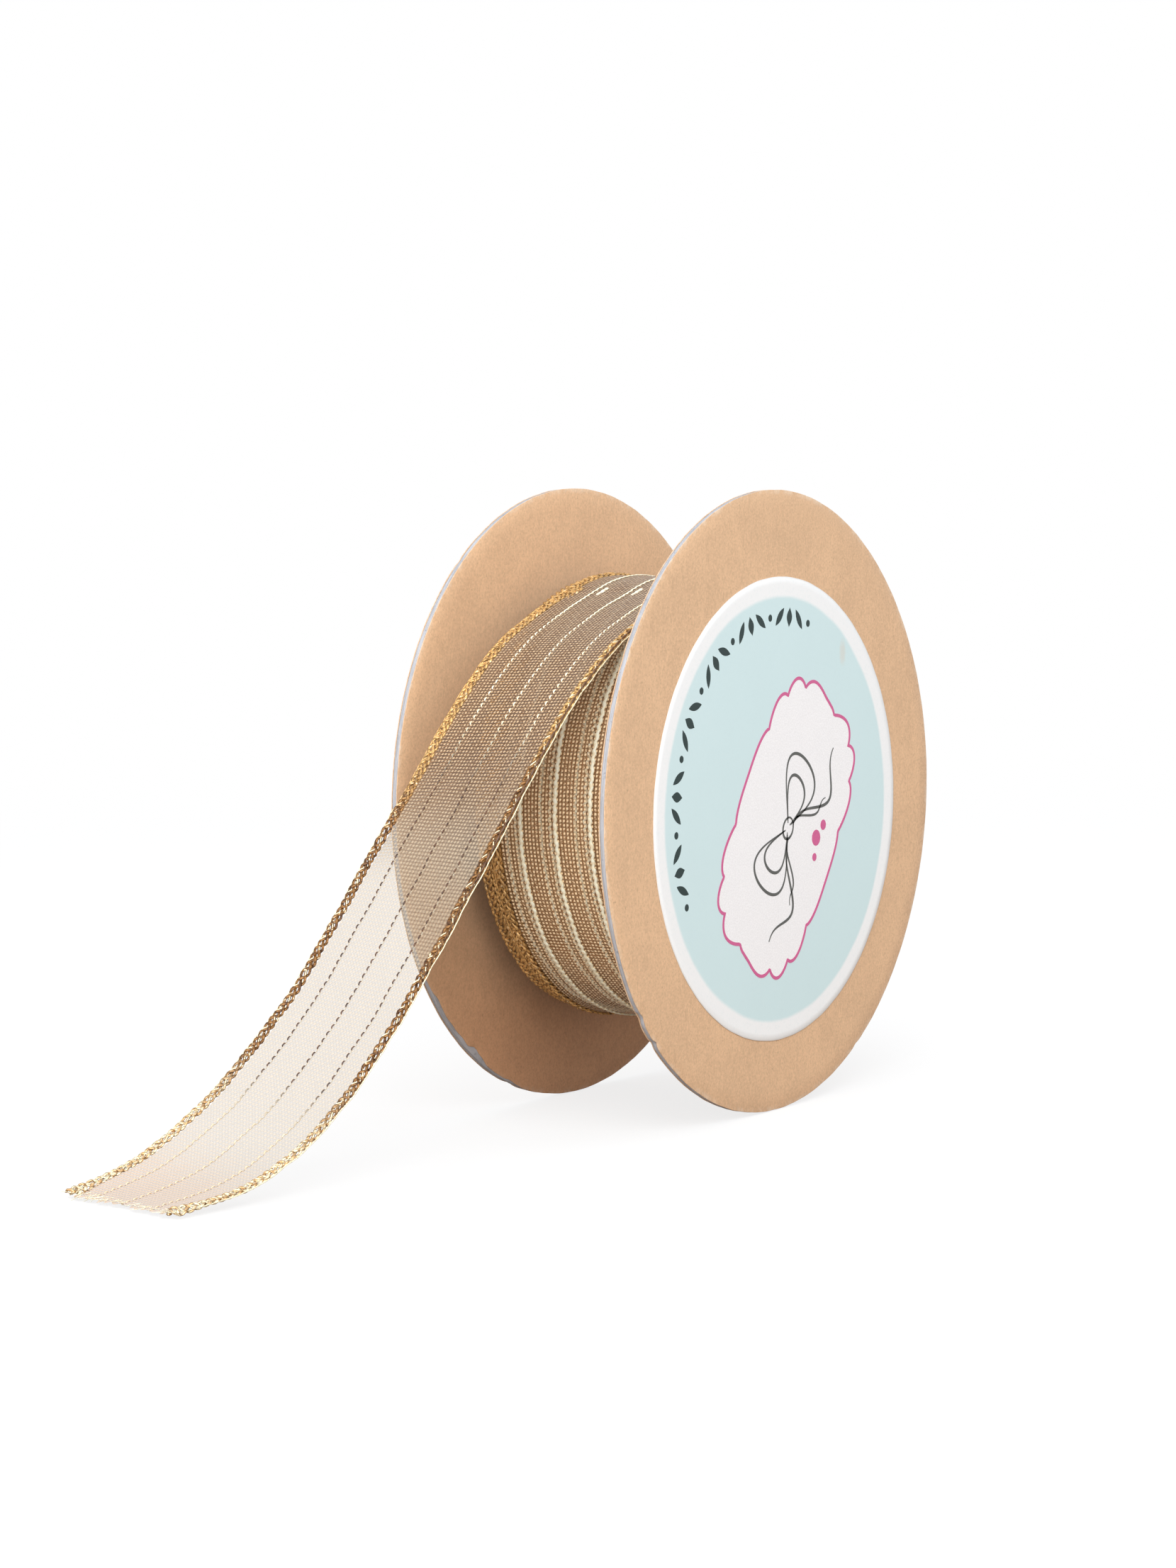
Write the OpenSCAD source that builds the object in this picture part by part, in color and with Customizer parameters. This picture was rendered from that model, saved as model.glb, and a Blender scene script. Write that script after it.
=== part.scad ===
// Card spool of sheer ribbon with its loose end drawn out, standing on its rims.
// The spool's axle runs along Y, the labelled flange faces -Y, and the loose end runs off to -X.
// The origin is the middle of the spool, on its axle.

/* [Flanges] */
// Diameter of both card flanges
flange_d = 76; // [70:1:90]
// Thickness of the grey board in a flange
board_t = 0.6; // [0.4:0.1:1.5]
// Thickness of each brown paper facing
facing_t = 0.1; // [0.08:0.01:0.2]
// Diameter of the axle hole in both flanges
axle_hole_d = 12.7; // [8:0.1:14]
// Clear distance between the two flanges
flange_gap = 28.6; // [27:0.1:32]

/* [Core tube] */
// Outer diameter of the paper tube
core_d = 35; // [32:1:38]
// Wall of the paper tube
core_wall = 2; // [1.5:0.1:2.5]
// Leg of the glue bead inside each end of the tube
glue_leg = 1; // [0.6:0.1:1.2]

/* [Label] */
// Diameter of the printed front label
label_d = 56.8; // [50:0.2:60]
// Thickness of the label
label_t = 0.1; // [0.08:0.01:0.2]
// How far the label sits off centre along X
label_shift_x = 0.9; // [-1.5:0.1:1.5]
// How far the label sits off centre along Z
label_shift_z = -1; // [-1.5:0.1:1.5]

/* [Ribbon] */
// Width of the ribbon over its selvedges
ribbon_w = 19; // [16:0.5:22]
// Width of each gold selvedge
selvedge_w = 1.5; // [1:0.1:2.2]
// Thickness of each selvedge
selvedge_t = 0.45; // [0.35:0.05:0.7]
// Thickness of the sheer web
web_t = 0.25; // [0.2:0.05:0.4]
// Distance from one metallic pinstripe to the next
stripe_spacing = 5; // [4:0.1:6]
// Width of each metallic pinstripe
stripe_w = 0.5; // [0.3:0.1:1]
// Thickness of a pinstripe lying on the web
stripe_t = 0.1; // [0.08:0.01:0.2]
// Outer diameter of the wound ribbon, without its loose outer turn
wound_d = 54; // [50:0.5:56]
// Clearance under the loose outer turn
turn_clearance = 0.15; // [0.1:0.05:0.4]
// How far the wound ribbon sits along the axle, towards the back flange
wound_shift = 0.7; // [-2:0.1:2]
// How far the loose outer turn sits along the axle, towards the back flange
turn_shift = -0.3; // [-2:0.1:2]

/* [Start tape] */
// Thickness of the tape that holds the ribbon's inner end
tape_t = 0.1; // [0.05:0.01:0.12]
// Width of the tape along the axle
tape_w = 12; // [8:1:14]
// Angle that the tape covers on the tube
tape_angle = 70; // [40:5:120]

/* [Hidden] */
$fn = 180;
SECTION_FN = 32;
flange_t = board_t + 2 * facing_t;
core_clearance = 0.2;
web_w = ribbon_w - 2 * selvedge_w;
wound_bottom_d = core_d + 2 * core_clearance;
groove_bottom_d = wound_bottom_d + 2;
turn_inner_r = wound_d / 2 + turn_clearance;
turn_outer_r = turn_inner_r + web_t;
turn_middle_r = (turn_inner_r + turn_outer_r) / 2;

// Middle lines of the three pinstripes, across the ribbon's width.
stripe_places = [for (i = [-1:1]) i * stripe_spacing];

// The loose outer turn covers the wound ribbon up to where the loose end leaves it, 19 degrees
// past the top towards -X, and its inner lap is tucked under at the other end.
leave_angle = 19;
turn_angle = 338;

// Route of the loose end's middle line: X, Y, Z, how far the width direction turns about Z, and how
// far the front edge is lifted, in mm and degrees. It leaves along the turn's tangent and ends flat.
tail_start = [-turn_middle_r * sin(leave_angle), turn_shift, turn_middle_r * cos(leave_angle)];
tail_route = [
    [tail_start.x, tail_start.y, tail_start.z, 0, 0],
    [-17.3, -0.4, 23.4, 1, 2],
    [-25.5, -0.4, 20, 3, 3],
    [-32.9, -0.1, 14.6, 6, 3],
    [-39.6, 0.4, 8, 8, 2],
    [-46.1, 1.2, 0.7, 9, 0],
    [-52.4, 2.3, -7, 10, -2],
    [-58.6, 3.7, -15, 10, -3],
    [-65.3, 5.6, -22.8, 10, -6],
    [-72.8, 7.9, -30, 10, -7],
    [-81.8, 10.3, -35.2, 11, -5],
    [-92.3, 12.6, -37.5, 13, 0]
];
TAIL_STEPS = 4;

function unit(v) = v / norm(v);

// A smooth curve through the rows of a table, at u rows from its start.
function row_at(table, i) = table[max(0, min(len(table) - 1, i))];
function blend_rows(a, b, c, d, t) =
    0.5 * (2 * b + (c - a) * t + (2 * a - 5 * b + 4 * c - d) * t * t
        + (3 * b - a - 3 * c + d) * t * t * t);
function route_at(table, u) =
    let (i = min(floor(u), len(table) - 2))
    blend_rows(row_at(table, i - 1), row_at(table, i), row_at(table, i + 1),
        row_at(table, i + 2), u - i);
function place(row) = [row[0], row[1], row[2]];
function width_direction(row) =
    [-sin(row[3]) * cos(row[4]), -cos(row[3]) * cos(row[4]), sin(row[4])];

// Each station of the loose end is [middle, direction across the width, direction out of its face].
tail_last = len(tail_route) - 1;
tail_leave = [-cos(leave_angle), 0, -sin(leave_angle)];
tail_stations = [
    for (k = [0:tail_last * TAIL_STEPS])
        let (
            u = k / TAIL_STEPS,
            row = route_at(tail_route, u),
            ahead = place(route_at(tail_route, min(tail_last, u + 0.05))),
            behind = place(route_at(tail_route, max(0, u - 0.05))),
            along = k == 0 ? tail_leave : unit(ahead - behind),
            across_raw = width_direction(row),
            across = unit(across_raw - (across_raw * along) * along)
        )
        [place(row), across, cross(along, across)]
];

// A ring about the axle, from one place along Y to another.
module axle_ring(outer_d, inner_d, y_low, y_high) {
    translate([0, y_high, 0])
        rotate([90, 0, 0])
            difference() {
                cylinder(d = outer_d, h = y_high - y_low);
                translate([0, 0, -1])
                    cylinder(d = inner_d, h = y_high - y_low + 2);
            }
}

// Part of a ring about the axle. It starts at an angle past the top towards -X and runs back over the top.
module axle_arc(inner_r, outer_r, y_low, y_high, start_angle, angle) {
    rotate([90, 0, 0])
        rotate([0, 0, 90 + start_angle - angle])
            rotate_extrude(angle = angle)
                translate([inner_r, -y_high])
                    square([outer_r - inner_r, y_high - y_low]);
}

// One strip of the loose end, swept along its stations. Its section is a list of corners, each
// [across the width, through the cloth]. Strips that lie on each other are cut into the same
// triangles, because every face's diagonal runs the same way across the width.
module tail_strip(section) {
    corners = len(section);
    count = len(tail_stations);
    points = [
        for (station = tail_stations)
            for (corner = section)
                station[0] + corner[0] * station[1] + corner[1] * station[2]
    ];
    sides = [
        for (k = [0:count - 2])
            for (j = [0:corners - 1])
                let (
                    next = (j + 1) % corners,
                    a = corners * k + j,
                    b = corners * k + next,
                    c = a + corners,
                    d = b + corners
                )
                each section[j][0] <= section[next][0]
                    ? [[a, c, b], [b, c, d]]
                    : [[a, c, d], [a, d, b]]
    ];
    first_cap = [for (j = [1:corners - 2]) [0, j, j + 1]];
    last = corners * (count - 1);
    last_cap = [for (j = [1:corners - 2]) [last, last + j + 1, last + j]];
    polyhedron(points = points, faces = concat(first_cap, sides, last_cap));
}

function flat_section(across_low, across_high, low, high) =
    [[across_low, low], [across_high, low], [across_high, high], [across_low, high]];

module board(y_low) {
    color([0.78, 0.77, 0.74])
        axle_ring(flange_d, axle_hole_d, y_low, y_low + board_t);
}

module facing(y_low) {
    color([0.84, 0.7, 0.55])
        axle_ring(flange_d, axle_hole_d, y_low, y_low + facing_t);
}

module front_board() {
    board(-flange_gap / 2 - facing_t - board_t);
}

module front_facing_outer() {
    facing(-flange_gap / 2 - flange_t);
}

module front_facing_inner() {
    facing(-flange_gap / 2 - facing_t);
}

module back_board() {
    board(flange_gap / 2 + facing_t);
}

module back_facing_outer() {
    facing(flange_gap / 2 + facing_t + board_t);
}

module back_facing_inner() {
    facing(flange_gap / 2);
}

module core_tube() {
    color([0.72, 0.58, 0.43])
        axle_ring(core_d, core_d - 2 * core_wall, -flange_gap / 2, flange_gap / 2);
}

// A bead of glue in the corner between the tube's bore and a flange.
module glue_bead() {
    color([0.93, 0.88, 0.74])
        rotate_extrude()
            translate([core_d / 2 - core_wall - glue_leg, 0])
                difference() {
                    square(glue_leg);
                    translate([0, glue_leg])
                        circle(r = glue_leg, $fn = SECTION_FN);
                }
}

module front_glue_bead() {
    translate([0, -flange_gap / 2, 0])
        rotate([-90, 0, 0])
            glue_bead();
}

module back_glue_bead() {
    translate([0, flange_gap / 2, 0])
        rotate([90, 0, 0])
            glue_bead();
}

module start_tape() {
    color([0.9, 0.85, 0.62, 0.8])
        axle_arc(core_d / 2, core_d / 2 + tape_t, -tape_w / 2, tape_w / 2, 35, tape_angle);
}

module front_label() {
    color([0.84, 0.9, 0.9])
        translate([label_shift_x, -flange_gap / 2 - flange_t, label_shift_z])
            rotate([90, 0, 0])
                cylinder(d = label_d, h = label_t);
}

// The ring where one pinstripe's turns are stacked in the wound ribbon.
module stripe_ring(place, outer_d) {
    axle_ring(outer_d, groove_bottom_d,
        wound_shift + place - stripe_w / 2, wound_shift + place + stripe_w / 2);
}

// The sheer part of the wound ribbon, grooved where the stacked pinstripes run.
module wound_web() {
    color([0.8, 0.68, 0.6])
        difference() {
            axle_ring(wound_d, wound_bottom_d, wound_shift - web_w / 2, wound_shift + web_w / 2);
            for (y = stripe_places)
                stripe_ring(y, wound_d + 2);
        }
}

module wound_pinstripes() {
    color([0.86, 0.74, 0.5])
        for (y = stripe_places)
            stripe_ring(y, wound_d);
}

module wound_selvedge(y_low) {
    color([0.8, 0.64, 0.36])
        axle_ring(wound_d, wound_bottom_d, y_low, y_low + selvedge_w);
}

module wound_selvedge_front() {
    wound_selvedge(wound_shift - ribbon_w / 2);
}

module wound_selvedge_back() {
    wound_selvedge(wound_shift + web_w / 2);
}

module outer_turn_web() {
    color([0.84, 0.74, 0.67])
        axle_arc(turn_inner_r, turn_outer_r, turn_shift - web_w / 2, turn_shift + web_w / 2,
            leave_angle, turn_angle);
}

module outer_turn_pinstripes() {
    color([0.86, 0.74, 0.5])
        for (y = stripe_places)
            axle_arc(turn_outer_r, turn_outer_r + stripe_t,
                turn_shift + y - stripe_w / 2, turn_shift + y + stripe_w / 2,
                leave_angle, turn_angle);
}

module outer_turn_selvedges() {
    color([0.8, 0.64, 0.36])
        for (y = [-ribbon_w / 2, web_w / 2])
            axle_arc(turn_inner_r, turn_inner_r + selvedge_t,
                turn_shift + y, turn_shift + y + selvedge_w, leave_angle, turn_angle);
}

// The web's upper side has a corner at each edge of each pinstripe that lies on it.
module tail_web() {
    stripe_edges = [
        for (i = [len(stripe_places) - 1:-1:0])
            for (side = [1, -1])
                [stripe_places[i] + side * stripe_w / 2, web_t / 2]
    ];
    color([0.84, 0.74, 0.67])
        tail_strip(concat(
            [[-web_w / 2, -web_t / 2], [web_w / 2, -web_t / 2], [web_w / 2, web_t / 2]],
            stripe_edges,
            [[-web_w / 2, web_t / 2]]
        ));
}

module tail_pinstripes() {
    color([0.86, 0.74, 0.5])
        for (across = stripe_places)
            tail_strip(flat_section(across - stripe_w / 2, across + stripe_w / 2,
                web_t / 2, web_t / 2 + stripe_t));
}

module tail_selvedge_front() {
    color([0.8, 0.64, 0.36])
        tail_strip(flat_section(web_w / 2, ribbon_w / 2, -web_t / 2, selvedge_t - web_t / 2));
}

module tail_selvedge_back() {
    color([0.8, 0.64, 0.36])
        tail_strip(flat_section(-ribbon_w / 2, -web_w / 2, -web_t / 2, selvedge_t - web_t / 2));
}

front_board();
front_facing_outer();
front_facing_inner();
back_board();
back_facing_outer();
back_facing_inner();
core_tube();
front_glue_bead();
back_glue_bead();
start_tape();
front_label();
wound_web();
wound_pinstripes();
wound_selvedge_front();
wound_selvedge_back();
outer_turn_web();
outer_turn_pinstripes();
outer_turn_selvedges();
tail_web();
tail_pinstripes();
tail_selvedge_front();
tail_selvedge_back();
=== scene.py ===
"""Looks of a card spool of sheer gift ribbon: kraft flanges, a printed label and a loose end."""

import math

import bmesh
import bpy
import numpy as np
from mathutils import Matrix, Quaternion, Vector


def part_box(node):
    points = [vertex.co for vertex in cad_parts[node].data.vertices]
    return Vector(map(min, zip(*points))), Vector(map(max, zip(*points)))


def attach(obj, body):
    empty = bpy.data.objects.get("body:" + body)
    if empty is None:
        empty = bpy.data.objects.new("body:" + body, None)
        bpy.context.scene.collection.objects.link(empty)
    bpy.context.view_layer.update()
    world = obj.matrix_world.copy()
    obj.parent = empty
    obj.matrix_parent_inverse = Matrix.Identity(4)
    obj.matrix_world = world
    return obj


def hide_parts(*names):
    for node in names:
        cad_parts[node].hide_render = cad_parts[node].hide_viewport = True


bl_info = {
    "name": "Ribbon spool",
    "version": (1, 0, 0),
    "blender": (4, 5, 0),
    "location": "View3D > Sidebar > Ribbon spool",
    "description": "Dresses the ribbon spool: card flanges, label, wound ribbon and loose end",
    "category": "Object",
}

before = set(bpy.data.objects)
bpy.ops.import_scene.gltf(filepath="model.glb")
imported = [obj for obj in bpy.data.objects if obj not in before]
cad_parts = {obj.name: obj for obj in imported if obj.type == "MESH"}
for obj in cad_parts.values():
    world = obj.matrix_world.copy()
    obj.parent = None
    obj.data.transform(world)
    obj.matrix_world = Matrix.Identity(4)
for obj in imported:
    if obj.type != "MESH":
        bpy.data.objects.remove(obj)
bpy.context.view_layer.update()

MM = 0.001
FULL_TURN = 2 * math.pi

# The ribbon, as the part's source has it.
RIBBON_WIDTH = 19 * MM
SELVEDGE_WIDTH = 1.5 * MM
WEB_WIDTH = RIBBON_WIDTH - 2 * SELVEDGE_WIDTH
WEB_COLUMNS = 33
STRIPE_PLACES = (-5 * MM, 0, 5 * MM)
WOUND_SHIFT = 0.7 * MM
WOUND_BORE = 17.7 * MM
WOUND_TOP = 26.02 * MM
EDGE_STACK_TOP = 26.1 * MM
WOUND_POINTS = 540
TURN_SHIFT = -0.3 * MM
TURN_RADIUS = 27.275 * MM
LEAVE_ANGLE = 19
TURN_ANGLE = 338

# Places along the loose ribbon past where it leaves the spool, between which it changes.
OPENING = (30 * MM, 52 * MM)
GLINTS_FADING = (32 * MM, 58 * MM)
# where the web's darkening near the spool, partly painted shade, starts and where it fades
PAINTED_SHADE_STARTING = (-45 * MM, -25 * MM)
PAINTED_SHADE_FADING = (56 * MM, 34 * MM)
# where the dark strand along the front selvedge, a painted shadow, starts and ends
PAINTED_SHADOW_SPAN = (-2 * MM, 66 * MM)
# where each braid starts to be drawn brown, a painted dark reflection
BROWN_FRONT = 34 * MM
BROWN_BACK = 40 * MM
# Lengths back from its cut end: over which the braid and the stripes are drawn pale, a painted
# bright reflection, and over which the web is flattened.
PALE_BRAID = 30 * MM
PALE_STRIPES = 22 * MM
FLAT_END = 14 * MM

# Route of the loose end's middle line, in metres: X, Y, Z, then how far the width direction turns
# about Z and how far the front edge is lifted, in degrees.
LOOSE_ROUTE = (
    (-0.0173, -0.0004, 0.0234, 1, 2),
    (-0.0255, -0.0004, 0.02, 3, 3),
    (-0.0329, -0.0001, 0.0146, 6, 3),
    (-0.0396, 0.0004, 0.008, 8, 2),
    (-0.0461, 0.0012, 0.0007, 9, 0),
    (-0.0524, 0.0023, -0.007, 10, -2),
    (-0.0586, 0.0037, -0.015, 10, -3),
    (-0.0653, 0.0056, -0.0228, 10, -6),
    (-0.0728, 0.0079, -0.03, 10, -7),
    (-0.0818, 0.0103, -0.0352, 11, -5),
    (-0.0923, 0.0126, -0.0374, 13, 0),
)


def paint(red, green, blue):
    """A colour given as 0 to 255 for each part, as linear numbers."""
    parts = []
    for part in (red, green, blue):
        share = part / 255
        if share <= 0.04045:
            parts.append(share / 12.92)
        else:
            parts.append(((share + 0.055) / 1.055) ** 2.4)
    return tuple(parts)


def size_setting(name, description, default, low, high):
    """A length that the panel can change, given in millimetres."""
    return bpy.props.FloatProperty(
        name=name,
        description=description,
        default=default * MM,
        min=low * MM,
        max=high * MM,
        precision=5,
        unit="LENGTH",
        subtype="DISTANCE",
    )


def colour_setting(name, description, default):
    """A colour that the panel can change."""
    return bpy.props.FloatVectorProperty(
        name=name,
        description=description,
        default=default,
        min=0.0,
        max=1.0,
        size=3,
        subtype="COLOR",
    )


class SpoolSizes(bpy.types.PropertyGroup):
    """Sizes of the details that the spool's solids don't have."""

    rim_softness: size_setting("Rim softness", "Radius of the worn corners", 0.12, 0.02, 0.3)
    rim_wave: size_setting("Rim wave", "How uneven the die-cut rims are", 0.07, 0.0, 0.3)
    peel_depth: size_setting("Peel depth", "How far a facing has peeled from the rim", 1.0, 0.0, 3)
    weave_pitch: size_setting("Weave pitch", "Distance between threads of the web", 0.5, 0.2, 1)
    layer_step: size_setting("Layer step", "Radius that each turn takes up", 0.2, 0.1, 0.3)
    braid_length: size_setting("Braid length", "Length of one crossing of a strand", 3.3, 2, 8)
    strand_width: size_setting("Strand width", "Width of one gold strand", 0.44, 0.2, 0.9)
    dash_pitch: size_setting("Dash pitch", "Distance between metallic dashes", 1.0, 0.5, 2)
    ink_thickness: size_setting("Ink thickness", "How far the print stands", 0.012, 0.004, 0.03)


class SpoolColours(bpy.types.PropertyGroup):
    """Colours of the spool's papers, inks and threads."""

    kraft: colour_setting("Kraft", "Facing paper of the flanges", paint(214, 177, 140))
    board: colour_setting("Board", "Grey board inside the flanges", paint(170, 171, 176))
    tube: colour_setting("Tube", "Paper of the core tube", paint(176, 146, 112))
    label_white: colour_setting("Label white", "Unprinted border of the label", paint(238, 240, 241))
    label_blue: colour_setting("Label blue", "Pale field of the label", paint(204, 226, 229))
    plaque: colour_setting("Plaque", "Panel in the middle of the label", paint(238, 238, 240))
    outline: colour_setting("Outline", "Line round the plaque", paint(203, 98, 146))
    drawing: colour_setting("Drawing", "Lines of the bow", paint(92, 94, 92))
    leaves: colour_setting("Leaves", "Leaves and dots round the label", paint(46, 62, 62))
    web: colour_setting("Web", "Sheer threads where they lie on the winding", paint(186, 138, 90))
    # painted sheen: the hanging web is drawn lighter and greyer than where it lies on the winding
    web_free_sheen: colour_setting("Free web", "Sheer threads that hang free", paint(166, 151, 132))
    # painted highlight: the glints where the sheer threads cross
    web_knot_highlight: colour_setting("Web knots", "Where the sheer threads cross", paint(255, 230, 188))
    packed: colour_setting("Packed web", "Depth of many turns of web", paint(182, 130, 84))
    gold: colour_setting("Gold", "Selvedge strands of the wound ribbon", paint(216, 172, 108))
    # drawn brown as painted dark reflection where the loose end hangs, and as painted shade on the
    # stacked edges
    gold_brown: colour_setting("Brown gold", "Selvedge strands of the loose end", paint(150, 106, 56))
    gold_dark: colour_setting("Dark gold", "Shaded side of the gold yarns", paint(92, 60, 34))
    # partly painted highlight: the metallic yarn's own pale colour, drawn near white for its glints
    stripe: colour_setting("Stripe", "Metallic stripe yarn and cords", paint(255, 244, 208))


class Shades:
    """Builds one material's nodes. An input may be a number, a colour or another node's output."""

    def __init__(self, name):
        self.material = bpy.data.materials.new(name)
        self.material.use_nodes = True
        self.tree = self.material.node_tree
        self.tree.nodes.clear()

    def feed(self, target, value):
        """Puts a value on an input, or joins an output to it."""
        if isinstance(value, bpy.types.NodeSocket):
            self.tree.links.new(value, target)
        elif hasattr(value, "__len__") and len(value) == 3 and len(target.default_value) == 4:
            target.default_value = (*value, 1.0)
        else:
            target.default_value = value

    def node(self, kind, inputs=None, **settings):
        """Adds a node, with settings by name and inputs by name or number."""
        made = self.tree.nodes.new("ShaderNode" + kind)
        for key, value in settings.items():
            setattr(made, key, value)
        for key, value in (inputs or {}).items():
            self.feed(made.inputs[key], value)
        return made

    def maths(self, operation, first, second=0.0, third=0.0, clamp=False):
        """One maths node's result."""
        inputs = {0: first, 1: second, 2: third}
        made = self.node("Math", inputs, operation=operation, use_clamp=clamp)
        return made.outputs[0]

    def times(self, first, second):
        """Two numbers multiplied."""
        return self.maths("MULTIPLY", first, second)

    def plus(self, first, second):
        """Two numbers added."""
        return self.maths("ADD", first, second)

    def minus(self, first, second):
        """The second number taken from the first."""
        return self.maths("SUBTRACT", first, second)

    def scaled(self, value, factor, offset):
        """A number multiplied by a factor, with another added."""
        return self.maths("MULTIPLY_ADD", value, factor, offset)

    def mix(self, share, first, second, blend="MIX"):
        """Blends two colours by a share from 0 to 1."""
        made = self.node("Mix", data_type="RGBA", blend_type=blend)
        self.feed(made.inputs["Factor"], share)
        self.feed(made.inputs[6], first)
        self.feed(made.inputs[7], second)
        return made.outputs[2]

    def over(self, colour, mask, share, shade):
        """A colour with another laid over it where the mask is 1, as strongly as share."""
        return self.mix(self.times(mask, share), colour, shade)

    def band(self, value, low, high):
        """0 below low and 1 above high, with a soft step between."""
        made = self.node(
            "MapRange",
            {"Value": value, "From Min": low, "From Max": high},
            interpolation_type="SMOOTHSTEP",
        )
        return made.outputs["Result"]

    def place(self):
        """The piece's own coordinates, in metres."""
        return self.node("TexCoord").outputs["Object"]

    def parts(self, vector):
        """A vector's three numbers."""
        return self.node("SeparateXYZ", {0: vector}).outputs

    def reach(self, parts):
        """Distance from the axle, or from any other line along Y, of a place's three numbers."""
        squares = [self.maths("POWER", parts[k], 2.0) for k in (0, 2)]
        return self.maths("SQRT", self.plus(*squares))

    def cloth_place(self, layer="cloth"):
        """Place across and along the cloth, in metres, as two numbers."""
        made = self.node("UVMap", uv_map=layer)
        parts = self.parts(made.outputs[0])
        return parts[0], parts[1]

    def stretched(self, vector, scale, turn=(0, 0, 0)):
        """Coordinates scaled by a different amount along each axis."""
        made = self.node("Mapping", {"Vector": vector, "Scale": scale, "Rotation": turn})
        return made.outputs[0]

    def noise(self, vector, scale, detail, roughness):
        """Fractal noise, about 0.5 on average."""
        inputs = {"Vector": vector, "Scale": scale, "Detail": detail, "Roughness": roughness}
        return self.node("TexNoise", inputs).outputs[0]

    def bump(self, height, distance, strength=1.0):
        """A surface normal from a height."""
        inputs = {"Height": height, "Distance": distance, "Strength": strength}
        return self.node("Bump", inputs).outputs[0]

    def surface(self, colour, roughness, normal=None, **fixed):
        """The finished surface. fixed holds the numbers set straight on the shader's sockets."""
        shader = self.node("BsdfPrincipled", {"Base Color": colour, "Roughness": roughness})
        for key, value in fixed.items():
            self.feed(shader.inputs[key.replace("_", " ")], value)
        if normal is not None:
            self.feed(shader.inputs["Normal"], normal)
        self.node("OutputMaterial", {"Surface": shader.outputs[0]})
        return self.material


def stored(name, build):
    """The finish of that name, built the first time that it is asked for."""
    full_name = "finish_" + name
    return bpy.data.materials.get(full_name) or build(Shades(full_name))


def colours():
    """The colours that the panel shows."""
    return bpy.context.scene.spool_colours


def sizes():
    """The sizes that the panel shows."""
    return bpy.context.scene.spool_sizes


def tone(colour, factor):
    """A colour made lighter or darker."""
    return tuple(min(1.0, part * factor) for part in colour)


def kraft_paper(shades, lighter=1.0, painted_low_shade=0.0):
    """Smooth brown kraft: long pale and dark fibres, faint clouds and a rubbed rim. The second
    argument, above 1, is painted light over the whole sheet; the last is painted shade, how much
    it darkens toward the bottom of the board."""
    # painted light where the second argument is above 1
    kraft = tone(tuple(colours().kraft), lighter)
    place = shades.place()
    clouds = shades.noise(place, 160, 4, 0.6)
    streaks = shades.noise(shades.stretched(place, (900, 900, 110)), 1.0, 4, 0.6)
    fibres = shades.noise(shades.stretched(place, (2600, 2600, 700), (0, 0.7, 0)), 1.0, 2, 0.5)
    crossed = shades.noise(shades.stretched(place, (2300, 2300, 600), (0, -0.9, 0)), 1.0, 2, 0.5)
    specks = shades.noise(place, 2600, 1, 0.4)
    grain = shades.noise(place, 3600, 2, 0.6)
    colour = shades.mix(shades.band(clouds, 0.3, 0.7), tone(kraft, 0.95), tone(kraft, 1.04))
    marks = (
        (streaks, 0.52, 0.72, 0.16, 1.22),
        (grain, 0.5, 0.34, 0.45, 0.76),
        (grain, 0.52, 0.7, 0.4, 1.24),
        (fibres, 0.58, 0.72, 0.3, 1.25),
        (crossed, 0.6, 0.74, 0.3, 0.72),
        (specks, 0.72, 0.78, 0.4, 0.5),
    )
    for pattern, low, high, share, factor in marks:
        colour = shades.over(colour, shades.band(pattern, low, high), share, tone(kraft, factor))
    parts = shades.parts(place)
    reach = shades.reach(parts)
    worn = shades.band(shades.noise(place, 700, 3, 0.7), 0.42, 0.66)
    rub = shades.times(shades.band(reach, FLANGE_RADIUS - 0.8 * MM, FLANGE_RADIUS), worn)
    colour = shades.over(colour, rub, 0.5, paint(232, 214, 192))
    # painted shade: the paper is drawn darker toward the bottom of the board
    low = shades.times(shades.band(parts[2], -6 * MM, -34 * MM), painted_low_shade)
    colour = shades.mix(low, colour, paint(206, 158, 124), "MULTIPLY")
    height = shades.plus(fibres, shades.times(crossed, 0.7))
    height = shades.plus(height, shades.times(streaks, 0.5))
    rough = shades.scaled(fibres, 0.18, 0.68)
    normal = shades.bump(height, 0.02 * MM, 0.35)
    return shades.surface(colour, rough, normal, Specular_IOR_Level=0.3, Sheen_Weight=0.08)


def grey_board(shades):
    """Pressed grey board, layered across its thickness, with short pale and dark fibres."""
    board = tuple(colours().board)
    place = shades.place()
    layers = shades.noise(shades.stretched(place, (260, 7000, 260)), 1.0, 3, 0.6)
    fibres = shades.noise(place, 2800, 3, 0.6)
    flecks = shades.noise(place, 1500, 2, 0.4)
    colour = shades.mix(shades.band(layers, 0.34, 0.66), tone(board, 0.8), tone(board, 1.14))
    colour = shades.over(colour, shades.band(fibres, 0.52, 0.7), 0.4, tone(board, 1.22))
    colour = shades.over(colour, shades.band(flecks, 0.66, 0.74), 0.5, tone(board, 0.5))
    height = shades.plus(layers, shades.times(fibres, 0.6))
    return shades.surface(colour, 0.9, shades.bump(height, 0.05 * MM, 0.6), Specular_IOR_Level=0.2)


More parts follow.
